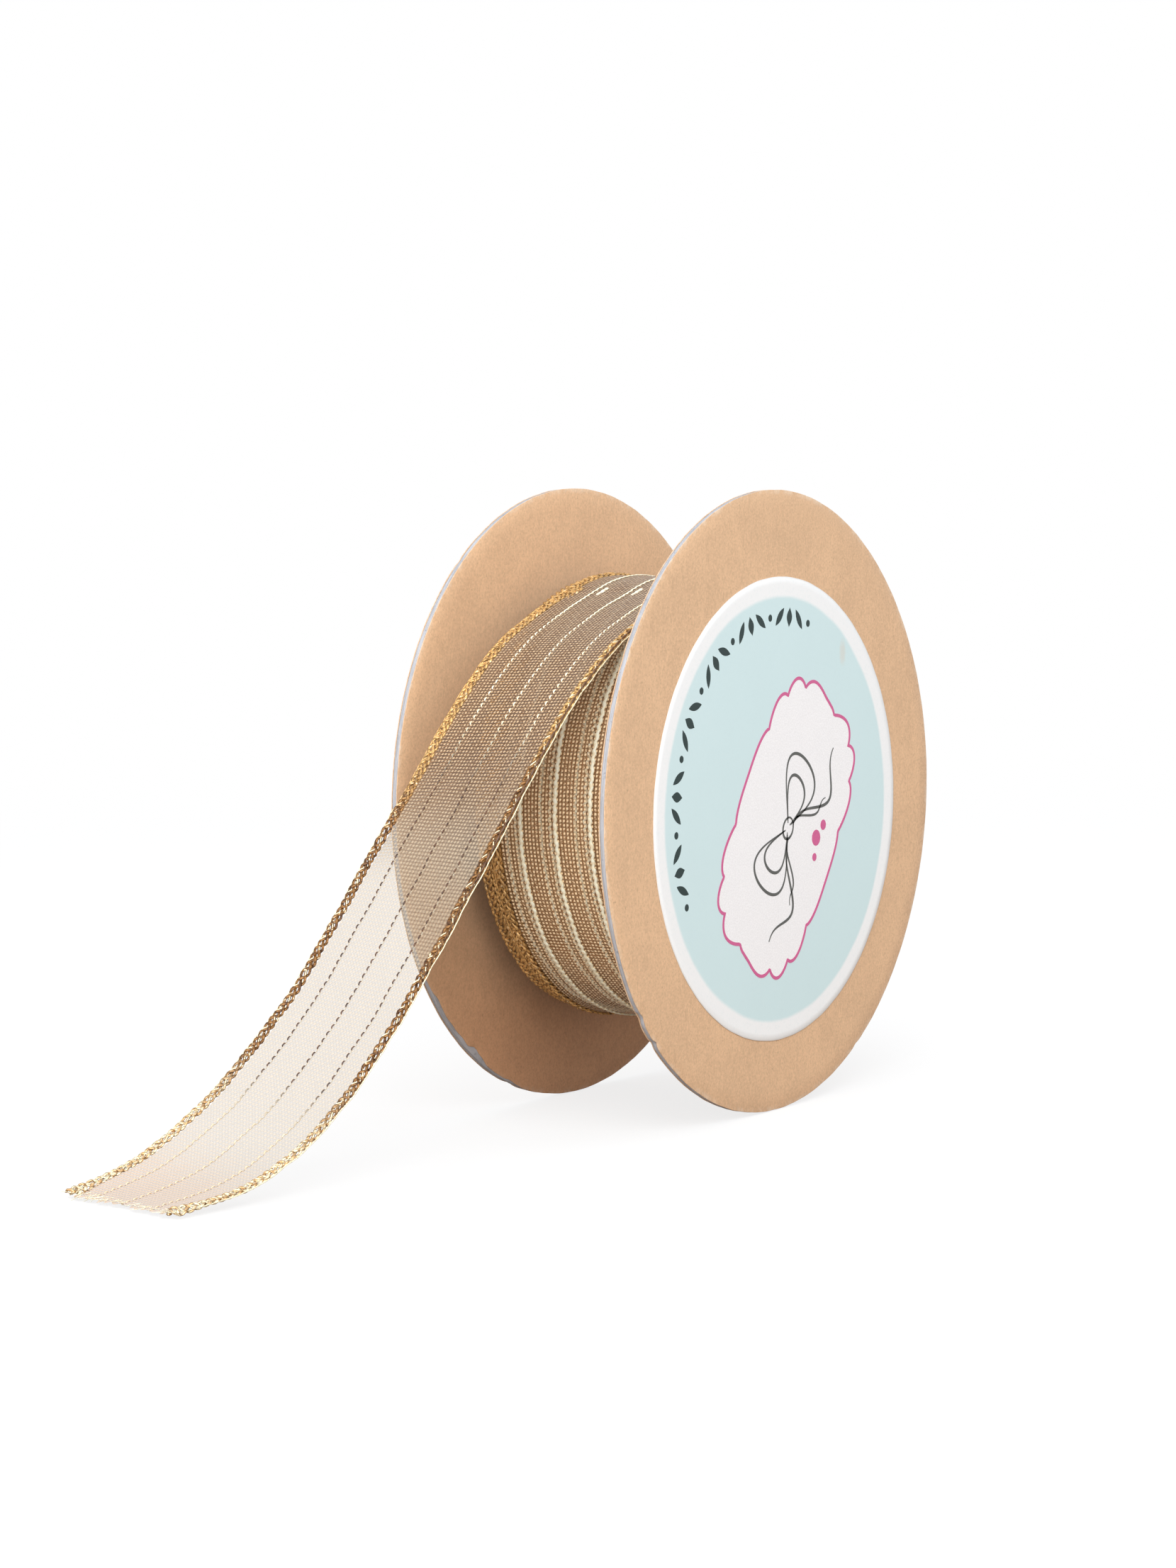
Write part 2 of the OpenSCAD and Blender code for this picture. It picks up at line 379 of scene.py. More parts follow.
def tube_paper(shades):
    """Spirally wound tube paper, with its butted seam lines."""
    tube = tuple(colours().tube)
    place = shades.place()
    parts = shades.parts(place)
    angle = shades.maths("ARCTAN2", parts[0], parts[2])
    turns = shades.maths("DIVIDE", angle, FULL_TURN)
    rows = shades.plus(turns, shades.maths("DIVIDE", parts[1], 21 * MM))
    gap = shades.maths("ABSOLUTE", shades.minus(shades.maths("FRACT", rows), 0.5))
    seam = shades.band(gap, 0.02, 0.008)
    fibres = shades.noise(place, 1800, 4, 0.6)
    colour = shades.mix(shades.band(fibres, 0.35, 0.65), tone(tube, 0.85), tone(tube, 1.15))
    colour = shades.over(colour, seam, 0.7, tone(tube, 0.45))
    height = shades.minus(fibres, shades.times(seam, 2.0))
    return shades.surface(colour, 0.88, shades.bump(height, 0.05 * MM, 0.5))


def dried_glue(shades):
    """Yellowed white glue with small bubbles."""
    place = shades.place()
    cells = shades.node("TexVoronoi", {"Vector": place, "Scale": 1600.0}).outputs[0]
    clouds = shades.noise(place, 500, 3, 0.6)
    colour = shades.mix(clouds, paint(226, 208, 168), paint(244, 236, 214))
    normal = shades.bump(cells, 0.06 * MM, 0.5)
    return shades.surface(colour, 0.3, normal, Coat_Weight=0.3)


def clear_tape(shades):
    """Matt clear tape over tube paper, with a faint crepe."""
    place = shades.place()
    crepe = shades.noise(shades.stretched(place, (300, 2400, 300)), 1.0, 2, 0.5)
    colour = shades.mix(crepe, paint(206, 182, 146), paint(222, 202, 168))
    return shades.surface(colour, 0.35, shades.bump(crepe, 0.02 * MM, 0.4))


def label_paper(shades):
    """Coated label paper: a pale blue field with a soft edge inside a white border."""
    white = tuple(colours().label_white)
    blue = tuple(colours().label_blue)
    place = shades.place()

    def offset_from(right, up):
        """Place from a point right of and above the label's middle."""
        middle = (label_middle.x + right, 0, label_middle.z + up)
        return shades.node("VectorMath", {0: place, 1: middle}, operation="SUBTRACT").outputs[0]

    reach = shades.reach(shades.parts(offset_from(0, 0)))
    grain = shades.noise(place, 3000, 2, 0.5)
    clouds = shades.noise(place, 90, 3, 0.6)
    wobble = shades.scaled(clouds, 0.5 * MM, reach)
    colour = shades.mix(clouds, tone(blue, 0.985), tone(blue, 1.015))
    border = shades.band(wobble, BLUE_RADIUS - 0.3 * MM, BLUE_RADIUS + 0.3 * MM)
    colour = shades.mix(border, colour, white)
    dots = shades.times(shades.band(grain, 0.5, 0.75), 0.12)
    colour = shades.mix(dots, colour, tone(blue, 0.9))
    flat_stain = shades.stretched(offset_from(15.7 * MM, 18.3 * MM), (1, 0, 0.5))
    spread = shades.node("VectorMath", {0: flat_stain}, operation="LENGTH").outputs["Value"]
    spread = shades.plus(spread, shades.times(grain, 0.5 * MM))
    mark = shades.times(shades.band(spread, 1.3 * MM, 0.5 * MM), 0.35)
    colour = shades.mix(mark, colour, paint(214, 196, 176))
    edge = shades.band(reach, 28.15 * MM, 28.4 * MM)
    colour = shades.over(colour, edge, 0.35, paint(198, 194, 188))
    normal = shades.bump(shades.plus(grain, clouds), 0.01 * MM, 0.25)
    return shades.surface(colour, 0.55, normal, Specular_IOR_Level=0.2)


def ink(colour_name):
    """Builds a printing ink of one of the panel's colours."""

    def build(shades):
        colour = tuple(getattr(colours(), colour_name))
        place = shades.place()
        grain = shades.noise(place, 5200, 2, 0.6)
        clouds = shades.noise(place, 420, 3, 0.6)
        mixed = shades.mix(shades.band(grain, 0.35, 0.7), tone(colour, 0.94), tone(colour, 1.06))
        mixed = shades.over(mixed, clouds, 0.15, tone(colour, 1.3))
        return shades.surface(mixed, 0.5, shades.bump(grain, 0.004 * MM, 0.3), Specular_IOR_Level=0.2)

    return build


def thread_rows(shades, place, pitch, width):
    """1 in the middle of each thread and 0 in the gaps, for threads a pitch apart."""
    share = shades.maths("FRACT", shades.maths("DIVIDE", place, pitch))
    away = shades.times(shades.maths("ABSOLUTE", shades.minus(share, 0.5)), 2.0)
    return shades.band(away, width, width * 0.45)


def weave(shades, pitch, width, waver):
    """The crossed threads of the cloth: where there is a thread, and where two cross."""
    across, along = shades.cloth_place()
    place = shades.place()
    drift = shades.times(shades.noise(place, 260, 2, 0.5), waver)
    warp = thread_rows(shades, shades.plus(across, drift), pitch, width)
    weft = thread_rows(shades, shades.minus(along, drift), pitch, width)
    return warp, weft, shades.times(warp, weft), shades.maths("MAXIMUM", warp, weft)


def sheer_cloth(sparkle, free_from=None, end_place=None):
    """Sheer web: fine threads both ways, open between them. sparkle is how bright the painted
    highlights are where they cross. Past free_from along the cloth it leaves the winding: first
    dense and darkened in rows, partly the winding seen through it and partly painted shade, then
    open, with a painted sheen. Past end_place it has been handled flat, and is peach-coloured."""

    def build(shades):
        web = tuple(colours().web)
        knots = tuple(colours().web_knot_highlight)
        pitch = sizes().weave_pitch
        weft, knot, thread = weave(shades, pitch, 0.85, 0.1 * MM)[1:]
        place = shades.place()
        clouds = shades.noise(place, 900, 2, 0.6)
        sparks = shades.noise(place, 2100, 1, 0.5)
        colour = shades.mix(clouds, tone(web, 0.86), tone(web, 1.12))
        across, along = shades.cloth_place()
        slant = shades.scaled(across, 0.8, along)
        # painted highlight: pale glints where the threads cross, stronger along diagonal streaks and in
        # random sparks
        streaks = thread_rows(shades, slant, 0.96 * MM, 1.0)
        bright = shades.scaled(streaks, 0.75, 0.3)
        bright = shades.maths("MULTIPLY_ADD", shades.band(sparks, 0.4, 0.62), 0.3, bright, True)
        glint = shades.times(knot, bright)
        colour = shades.mix(glint, colour, knots)
        cover = shades.scaled(thread, 0.1, 0.03)
        if free_from is not None:

            def past_spool(span):
                """A soft step between two places past where the ribbon leaves the spool."""
                return shades.band(along, free_from + span[0], free_from + span[1])

            free = past_spool(OPENING)
            # painted sheen: where it hangs free the web is drawn lighter and greyer, as where it catches
            # the light
            free_sheen = tuple(colours().web_free_sheen)
            light = shades.mix(clouds, tone(free_sheen, 0.9), tone(free_sheen, 1.1))
            light = shades.over(light, glint, 0.35, knots)
            colour = shades.mix(free, colour, light)
            haze = shades.scaled(thread, 0.14, 0.24)
            cover = shades.plus(cover, shades.times(free, haze))
            loose = past_spool(GLINTS_FADING)
            glint = shades.times(glint, shades.scaled(loose, -0.9, 1.0))
            # partly painted shade: near where it leaves the spool the web is made denser and darker in
            # skewed rows, partly the winding seen through it and partly shade
            skewed = shades.scaled(across, 0.2, along)
            shaded_rows = thread_rows(shades, skewed, pitch * 0.91, 0.8)
            near = shades.times(past_spool(PAINTED_SHADE_STARTING), past_spool(PAINTED_SHADE_FADING))
            shadow = shades.times(near, shades.scaled(shaded_rows, 0.8, 0.25))
            dusk = shades.times(shadow, shades.minus(1.0, glint))
            colour = shades.mix(shades.times(near, 0.55), colour, tone(web, 0.5), "MULTIPLY")
            colour = shades.mix(dusk, colour, paint(82, 55, 28))
            cover = shades.plus(cover, shades.times(dusk, 0.9))
            worn = shades.scaled(clouds, 8 * MM, along)
            flat = shades.band(worn, end_place, end_place + 14 * MM)
            peach = shades.mix(weft, paint(160, 130, 108), paint(212, 184, 158))
            colour = shades.over(colour, flat, 0.9, peach)
            ridges = shades.scaled(weft, 0.35, 0.02)
            cover = shades.plus(cover, shades.times(flat, ridges))
        cover = shades.scaled(glint, sparkle, cover)
        height = shades.plus(thread, knot)
        normal = shades.bump(height, 0.04 * MM, 0.6)
        cover = shades.maths("MINIMUM", cover, 1.0)
        sheer = {"Alpha": cover, "Specular_IOR_Level": 0.5, "Sheen_Weight": 0.2}
        return shades.surface(colour, 0.4, normal, **sheer)

    return build


def packed_cloth(shades):
    """Many turns of sheer web seen through each other: brown depth with crossed pale threads, and painted
    highlights where they cross.
    """
    packed = tuple(colours().packed)
    knots = tuple(colours().web_knot_highlight)
    pitch = sizes().weave_pitch
    warp, _, knot, thread = weave(shades, pitch, 0.66, 0.3 * MM)
    across, along = shades.cloth_place()
    skewed = shades.scaled(across, 0.14, along)
    second = thread_rows(shades, shades.plus(skewed, 0.2 * MM), pitch * 0.95, 0.6)
    clouds = shades.noise(shades.place(), 700, 3, 0.6)
    colour = shades.mix(shades.band(clouds, 0.35, 0.65), tone(packed, 0.8), tone(packed, 1.15))
    colour = shades.over(colour, second, 0.35, tone(packed, 1.5))
    colour = shades.over(colour, warp, 0.3, tone(packed, 1.6))
    # painted highlight: pale glints where the threads cross
    colour = shades.over(colour, knot, 0.25, knots)
    height = shades.plus(thread, knot)
    normal = shades.bump(height, 0.06 * MM, 0.7)
    return shades.surface(colour, 0.6, normal, Specular_IOR_Level=0.35)


def gold_strand(colour_name, dark_reflection_from=None, bright_reflection_from=None):
    """Metallic yarn of two twisted plies, with cream flecks as painted highlights, dark flecks as
    painted shade and dark reflection, and painted shade in the grooves. Past the second argument
    along the ribbon it hangs free and is drawn brown, a painted dark reflection, and past the third
    it is drawn pale gold, a painted bright reflection."""

    def build(shades):
        gold = tuple(getattr(colours(), colour_name))
        dark = tuple(colours().gold_dark)
        cream = tuple(colours().stripe)
        around, along = shades.cloth_place("strand")
        place = shades.place()
        twist = shades.plus(around, shades.maths("DIVIDE", along, 1.1 * MM))
        share = shades.maths("FRACT", shades.times(twist, 2.0))
        ply = shades.maths("ABSOLUTE", shades.minus(share, 0.5))
        groove = shades.band(ply, 0.0, 0.22)
        flecks = shades.noise(place, 1700, 2, 0.5)
        patches = shades.noise(place, 450, 2, 0.5)
        fleck_share = 0.22 if dark_reflection_from is None else 0.6
        colour = shades.mix(shades.band(patches, 0.35, 0.65), tone(gold, 0.85), tone(gold, 1.1))
        # painted shade and dark reflection as dark flecks, painted highlights as cream flecks
        colour = shades.over(colour, shades.band(flecks, 0.44, 0.32), fleck_share, dark)
        colour = shades.over(colour, shades.band(flecks, 0.58, 0.72), fleck_share, cream)
        if dark_reflection_from is not None:
            # painted dark reflection: drawn brown where it hangs free
            hanging = shades.band(along, dark_reflection_from - 4 * MM, dark_reflection_from + 6 * MM)
            brown = tuple(colours().gold_brown)
            deep = shades.mix(shades.band(flecks, 0.36, 0.5), dark, brown)
            deep = shades.over(deep, shades.band(flecks, 0.62, 0.7), 0.8, cream)
            colour = shades.mix(hanging, colour, deep)
            # painted bright reflection: drawn pale gold near the cut end
            pale = shades.band(along, bright_reflection_from, bright_reflection_from + 14 * MM)
            light = shades.mix(shades.band(flecks, 0.4, 0.6), paint(220, 176, 120), cream)
            colour = shades.over(colour, pale, 0.85, light)
        # painted shade in the grooves between the plies
        hollow = shades.times(shades.minus(1.0, groove), 0.6)
        colour = shades.mix(hollow, colour, tone(dark, 0.6))
        height = shades.plus(groove, shades.times(flecks, 0.5))
        normal = shades.bump(height, 0.05 * MM, 0.8)
        return shades.surface(colour, 0.36, normal, Metallic=0.4, Specular_IOR_Level=0.6)

    return build


def stripe_thread(colour_name="stripe", dark_from=None, dark_to=None, highlight_from=None):
    """Metallic yarn. Between dark_from and dark_to along the ribbon its dashes are drawn brown, a
    painted dark reflection, and past dark_to it turns pale, a painted bright reflection. Past the
    last argument it is drawn as pale as the stripes, a painted highlight."""

    def build(shades):
        stripe = tuple(getattr(colours(), colour_name))
        along = shades.cloth_place("strand")[1]
        flecks = shades.noise(shades.place(), 2600, 2, 0.6)
        colour = shades.mix(shades.band(flecks, 0.35, 0.6), tone(stripe, 0.95), tone(stripe, 1.3))
        # painted highlight: drawn pale past this place
        if highlight_from is not None:
            pale = tuple(colours().stripe)
            light = shades.mix(shades.band(flecks, 0.35, 0.6), tone(pale, 0.7), pale)
            colour = shades.mix(shades.band(along, highlight_from, highlight_from + 10 * MM), colour, light)
        # painted dark reflection: brown dashes where the ribbon hangs free
        if dark_from is not None:
            share = shades.maths("FRACT", shades.maths("DIVIDE", along, sizes().dash_pitch))
            away = shades.maths("ABSOLUTE", shades.minus(share, 0.5))
            dash = shades.band(away, 0.33, 0.25)
            hanging = shades.times(
                shades.band(along, dark_from - 8 * MM, dark_from + 8 * MM),
                shades.band(along, dark_to + 6 * MM, dark_to - 6 * MM),
            )
            brown = shades.mix(shades.band(flecks, 0.4, 0.6), paint(58, 32, 18), paint(98, 62, 38))
            colour = shades.over(colour, dash, hanging, brown)
            # painted bright reflection: pale near the cut end
            end = shades.band(along, dark_to - 4 * MM, dark_to + 6 * MM)
            colour = shades.over(colour, end, 0.7, paint(214, 184, 146))
        normal = shades.bump(flecks, 0.02 * MM, 0.5)
        return shades.surface(colour, 0.34, normal, Specular_IOR_Level=0.7)

    return build


def placed(name, mesh, material, body):
    """Makes a piece of a mesh. It rides on a body and takes the finish given to it."""
    mesh.materials.append(material)
    mesh.update()
    made = bpy.data.objects.new(name, mesh)
    bpy.context.scene.collection.objects.link(made)
    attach(made, body)
    return made


class Net:
    """Gathers patches of quads into one mesh."""

    def __init__(self):
        self.points = []
        self.faces = []
        self.places = []
        self.count = 0

    def patch(self, rows, place_across, place_along, closed=False):
        """Adds a grid of points, rows along it and columns across it, with its cloth places.
        closed joins the last column to the first."""
        rows = np.asarray(rows, float)
        lines, columns = rows.shape[:2]
        spans = columns if closed else columns - 1
        i, j = np.mgrid[0 : lines - 1, 0:spans]
        i = i.ravel()
        j = j.ravel()
        following = (j + 1) % columns
        start = self.count
        quads = np.stack(
            [
                start + i * columns + j,
                start + i * columns + following,
                start + (i + 1) * columns + following,
                start + (i + 1) * columns + j,
            ],
            1,
        )
        across = np.asarray(place_across, float)
        along = np.asarray(place_along, float)
        corners = np.stack(
            [
                np.stack([across[j], along[i]], 1),
                np.stack([across[j + 1], along[i]], 1),
                np.stack([across[j + 1], along[i + 1]], 1),
                np.stack([across[j], along[i + 1]], 1),
            ],
            1,
        )
        self.points.append(rows.reshape(-1, 3))
        self.faces += quads.tolist()
        self.places.append(corners.reshape(-1, 2))
        self.count += lines * columns
        return start

    def lid(self, corners):
        """Closes a hole with one face, given its points' numbers in order."""
        self.faces.append(list(corners))
        self.places.append(np.zeros((len(corners), 2)))

    def piece(self, name, material, body, slot, layer="cloth"):
        """Makes the piece, which rides on a body and takes the finish given to it. slot is not used."""
        mesh = bpy.data.meshes.new(name)
        mesh.from_pydata(np.concatenate(self.points).tolist(), [], self.faces)
        uv_layer = mesh.uv_layers.new(name=layer)
        uv_layer.data.foreach_set("uv", np.concatenate(self.places).astype(np.float32).ravel())
        mesh.polygons.foreach_set("use_smooth", [True] * len(mesh.polygons))
        return placed(name, mesh, material, body)


def ripple(place, seed, longest, waves=5):
    """A smooth irregular wave, mostly between -1 and 1. place is in the units of longest."""
    chance = np.random.default_rng(seed)
    total = np.zeros(np.shape(place))
    for k in range(waves):
        phase = chance.uniform(0, FULL_TURN)
        rate = (k + chance.uniform(0.7, 1.3)) / longest
        total = total + np.sin(FULL_TURN * rate * np.asarray(place) + phase) / (k + 1)
    return total / 1.5


def ring_ripple(angle, seed, first=1, waves=6):
    """A smooth irregular wave round a ring, which meets itself after a full turn."""
    chance = np.random.default_rng(seed)
    total = np.zeros(np.shape(angle))
    for k in range(waves):
        phase = chance.uniform(0, FULL_TURN)
        rate = first + k * max(1, first // 2)
        total = total + np.sin(rate * np.asarray(angle) + phase) / (k + 1)
    return total / 1.5


def unit(rows):
    """Directions made one long."""
    return rows / np.linalg.norm(rows, axis=-1, keepdims=True)


def around_axle(radius, sideways, angle):
    """Points round the axle, at angles past the top towards -X."""
    sideways = np.broadcast_to(sideways, np.shape(angle))
    return np.stack([-radius * np.sin(angle), sideways, radius * np.cos(angle)], 1)


def soft_step(value):
    """0 below 0, 1 above 1, and smooth between."""
    value = np.clip(value, 0, 1)
    return value * value * (3 - 2 * value)


# Flanges

RIM_POINTS = 900
FLANGE_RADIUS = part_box("front_board")[1].x
HOLE_RADIUS = 6.35 * MM
label_low, label_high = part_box("front_label")
label_middle = (label_low + label_high) / 2
LABEL_RADIUS = (label_high.x - label_low.x) / 2
BLUE_RADIUS = 26.2 * MM
GARLAND_RADIUS = 23.5 * MM
GARLAND_COUNT = 25
GARLAND_START = 72
GARLAND_SWEEP = 133


def flange_warp(angle, radius, seed):
    """How far a flange bends along the axle: nothing under the label, a little at the rim."""
    share = soft_step((radius - 30 * MM) / (8 * MM))
    return 0.11 * MM * share * ring_ripple(angle, seed, 2, 3)


def card_disc(name, node, material, slot, rim, warp_seed):
    """A closed card disc with an axle hole, softened edges and an uneven rim, in a plain part's place."""
    low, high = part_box(node)
    soft = min(sizes().rim_softness, 0.45 * (high.y - low.y))
    angle = np.linspace(0, FULL_TURN, RIM_POINTS, endpoint=False)
    edge = rim(angle)
    hole = HOLE_RADIUS + 0.03 * MM * ring_ripple(angle, warp_seed + 5, 3)
    shares = (0.0, 0.3, 0.6, 0.8, 0.93, 1.0)
    columns = []
    for share in shares:
        columns.append((hole + soft + share * (edge - hole - 2 * soft), high.y))
    columns.append((edge - 0.3 * soft, high.y - 0.3 * soft))
    columns.append((edge, high.y - soft))
    columns.append((edge, low.y + soft))
    columns.append((edge - 0.3 * soft, low.y + 0.3 * soft))
    for share in reversed(shares):
        columns.append((hole + soft + share * (edge - hole - 2 * soft), low.y))
    columns.append((hole, low.y + soft))
    columns.append((hole, high.y - soft))
    rows = []
    for radius, height in columns:
        bend = flange_warp(angle, radius, warp_seed)
        rows.append(np.stack([radius * np.cos(angle), height + bend, radius * np.sin(angle)], 1))
    rows.append(rows[0])
    net = Net()
    grid = np.array(rows)
    net.patch(grid, np.linspace(0, 1, RIM_POINTS + 1), np.linspace(0, 1, len(rows)), closed=True)
    made = net.piece(name, material, "spool", slot)
    weld(made)
    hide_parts(node)
    return made


def weld(made):
    """Joins points that lie on each other, and turns the faces outwards."""
    work = bmesh.new()
    work.from_mesh(made.data)
    bmesh.ops.remove_doubles(work, verts=work.verts, dist=0.5e-6)
    bmesh.ops.recalc_face_normals(work, faces=work.faces)
    work.to_mesh(made.data)
    work.free()


def dent(angle, where, spread):
    """A smooth dip round one angle, in degrees."""
    away = (angle - math.radians(where) + math.pi) % FULL_TURN - math.pi
    return np.exp(-((away / math.radians(spread)) ** 2))


class SPOOL_OT_flanges(bpy.types.Operator):
    """Dress both flanges: grey board faced with kraft, worn at the rims"""

    bl_idname = "spool.flanges"
    bl_label = "Card flanges"

    def execute(self, context):
        setting = context.scene.spool_sizes
        wave = setting.rim_wave
        kraft = stored("kraft_paper", kraft_paper)
        # painted light and shade: the back flange's inner facing is the same kraft, drawn lighter all
        # over and darker toward the bottom
        inside = stored("inside_kraft", lambda shades: kraft_paper(shades, 1.06, 0.45))
        board = stored("grey_board", grey_board)

        def cut_rim(seed, inset, notches):
            """A rim's radius at each angle: the die's cut, fine fuzz and a few torn places."""

            def rim(angle):
                edge = FLANGE_RADIUS - inset + 0.3 * wave * ring_ripple(angle, seed, 3, 4)
                edge = edge + 0.25 * wave * ring_ripple(angle, seed + 1, 40, 6)
                for where, spread, depth in notches:
                    rough = 0.7 + 0.3 * ring_ripple(angle, seed + 2, 60, 6)
                    edge = edge - depth * MM * dent(angle, where, spread) * rough
                return edge

            return rim

        def peeled_rim(seed):
            """The rim of the facing that has come away in a ragged crescent."""
            whole = cut_rim(seed, 0.0, ())

            def rim(angle):
                ragged = 0.75 + 0.35 * ring_ripple(angle, seed + 7, 24, 8)
                crescent = dent(angle, 231, 17) * ragged + 0.3 * dent(angle, 200, 4) * ragged
                return whole(angle) - setting.peel_depth * np.clip(crescent - 0.1, 0, 1)

            return rim

        front_nicks = ((217, 1.6, 0.45), (224, 0.9, 0.3), (301, 1.2, 0.2), (150, 1.4, 0.15))
        back_nicks = ((248, 2.0, 0.2), (128, 1.0, 0.12))
        sides = (("front", 11, front_nicks, kraft, 21), ("back", 14, back_nicks, inside, 31))
        for side, seed, nicks, facing, warp_seed in sides:
            papers = side + "_facing_"
            rim = cut_rim(seed, 0.05 * MM, nicks)
            card_disc(side + "_board_card", side + "_board", board, "grey_board", rim, warp_seed)
            rim = cut_rim(seed + 1, 0.02 * MM, nicks)
            paper = side + "_outer_paper"
            card_disc(paper, papers + "outer", kraft, "brown_facing", rim, warp_seed)
            rim = peeled_rim(16) if side == "back" else cut_rim(13, 0.02 * MM, nicks)
            paper = side + "_inner_paper"
            card_disc(paper, papers + "inner", facing, "brown_facing", rim, warp_seed)
        return {"FINISHED"}


class SPOOL_OT_core(bpy.types.Operator):
    """Finish the core tube, its glue and the tape that holds the ribbon's start"""

    bl_idname = "spool.core"
    bl_label = "Core tube"

    def execute(self, context):
        finishes = (
            ("core_tube", stored("tube_paper", tube_paper)),
            ("front_glue_bead", stored("dried_glue", dried_glue)),
            ("back_glue_bead", stored("dried_glue", dried_glue)),
            ("start_tape", stored("clear_tape", clear_tape)),
        )
        for node, material in finishes:
            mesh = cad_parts[node].data
            mesh.materials.clear()
            mesh.materials.append(material)
        return {"FINISHED"}


# Label


def label_point(right, up, proud):
    """A point on the label's face: right and up from its middle, and how far it stands proud."""
    return (label_middle.x + right, label_low.y - proud, label_middle.z + up)


class Print:
    """Gathers flat printed shapes, each a thin slab on the label."""

    def __init__(self, level):
        self.thick = sizes().ink_thickness
        self.level = level * self.thick
        self.points = []
        self.faces = []

    def shape(self, outline):
        """Adds a filled closed outline, a list of right and up places in anticlockwise order."""
        start = len(self.points)
        count = len(outline)
        for proud in (self.level + self.thick, self.level - 0.5 * self.thick):
            for right, up in outline:
                self.points.append(label_point(right, up, proud))
        self.faces.append(list(range(start, start + count)))
        self.faces.append(list(range(start + 2 * count - 1, start + count - 1, -1)))
        for k in range(count):
            following = (k + 1) % count
            below = start + count
            self.faces.append([start + k, below + k, below + following, start + following])

    def line(self, places, widths, closed=False):
        """Adds a drawn line through places, with a width at each."""
        places = np.asarray(places, float)
        widths = np.broadcast_to(np.asarray(widths, float), (len(places),))
        if closed:
            before = np.roll(places, 1, axis=0)
            after = np.roll(places, -1, axis=0)
            ahead = after - before
        else:
            ahead = np.gradient(places, axis=0)
        ahead = unit(ahead)
        side = np.stack([-ahead[:, 1], ahead[:, 0]], 1) * widths[:, None] / 2
        left = places + side
        right = places - side
        start = len(self.points)
        count = len(places)
        for proud in (self.level + self.thick, self.level - 0.5 * self.thick):
            for edge in (left, right):
                for place_right, place_up in edge:
                    self.points.append(label_point(place_right, place_up, proud))
        spans = count if closed else count - 1
        for k in range(spans):
            n = (k + 1) % count
            a, b, c, d = (start + part * count + k for part in range(4))
            e, f, g, h = (start + part * count + n for part in range(4))
            self.faces += [[a, b, f, e], [c, g, h, d], [a, e, g, c], [b, d, h, f]]
        if not closed:
            a, b, c, d = (start + part * count for part in range(4))
            self.faces.append([a, c, d, b])
            a, b, c, d = (start + part * count + count - 1 for part in range(4))
            self.faces.append([a, b, d, c])

    def piece(self, name, material):
        """Makes the printed piece."""
        mesh = bpy.data.meshes.new(name)
        mesh.from_pydata(self.points, [], self.faces)
        made = placed(name, mesh, material, "spool")
        weld(made)
        return made


PLAQUE_MIDDLE = (2.1 * MM, -2.5 * MM)
PLAQUE_TURN = math.radians(55)
PLAQUE_HALF_LENGTH = 18.4 * MM
PLAQUE_HALF_WIDTH = 11.6 * MM
PLAQUE_LOBES = 14


def on_plaque(along, across):
    """A place on the label, from one along and across the tilted plaque."""
    cosine = math.cos(PLAQUE_TURN)
    sine = math.sin(PLAQUE_TURN)
    return (
        PLAQUE_MIDDLE[0] + along * cosine - across * sine,
        PLAQUE_MIDDLE[1] + along * sine + across * cosine,
    )


def rounded(share, power):
    """A sine or cosine raised to a power, with its sign kept."""
    return math.copysign(abs(share) ** power, share)


def plaque_outline():
    """A long oval with a scalloped edge."""
    outline = []
    for k in range(360):
        angle = FULL_TURN * k / 360
        lobe = abs(math.sin(PLAQUE_LOBES / 2 * angle + 0.4))
        reach = 0.935 + 0.075 * lobe**0.7
        along = rounded(math.cos(angle), 0.62) * PLAQUE_HALF_LENGTH
        across = rounded(math.sin(angle), 0.62) * PLAQUE_HALF_WIDTH
        outline.append(on_plaque(along * reach, across * reach))
    return outline


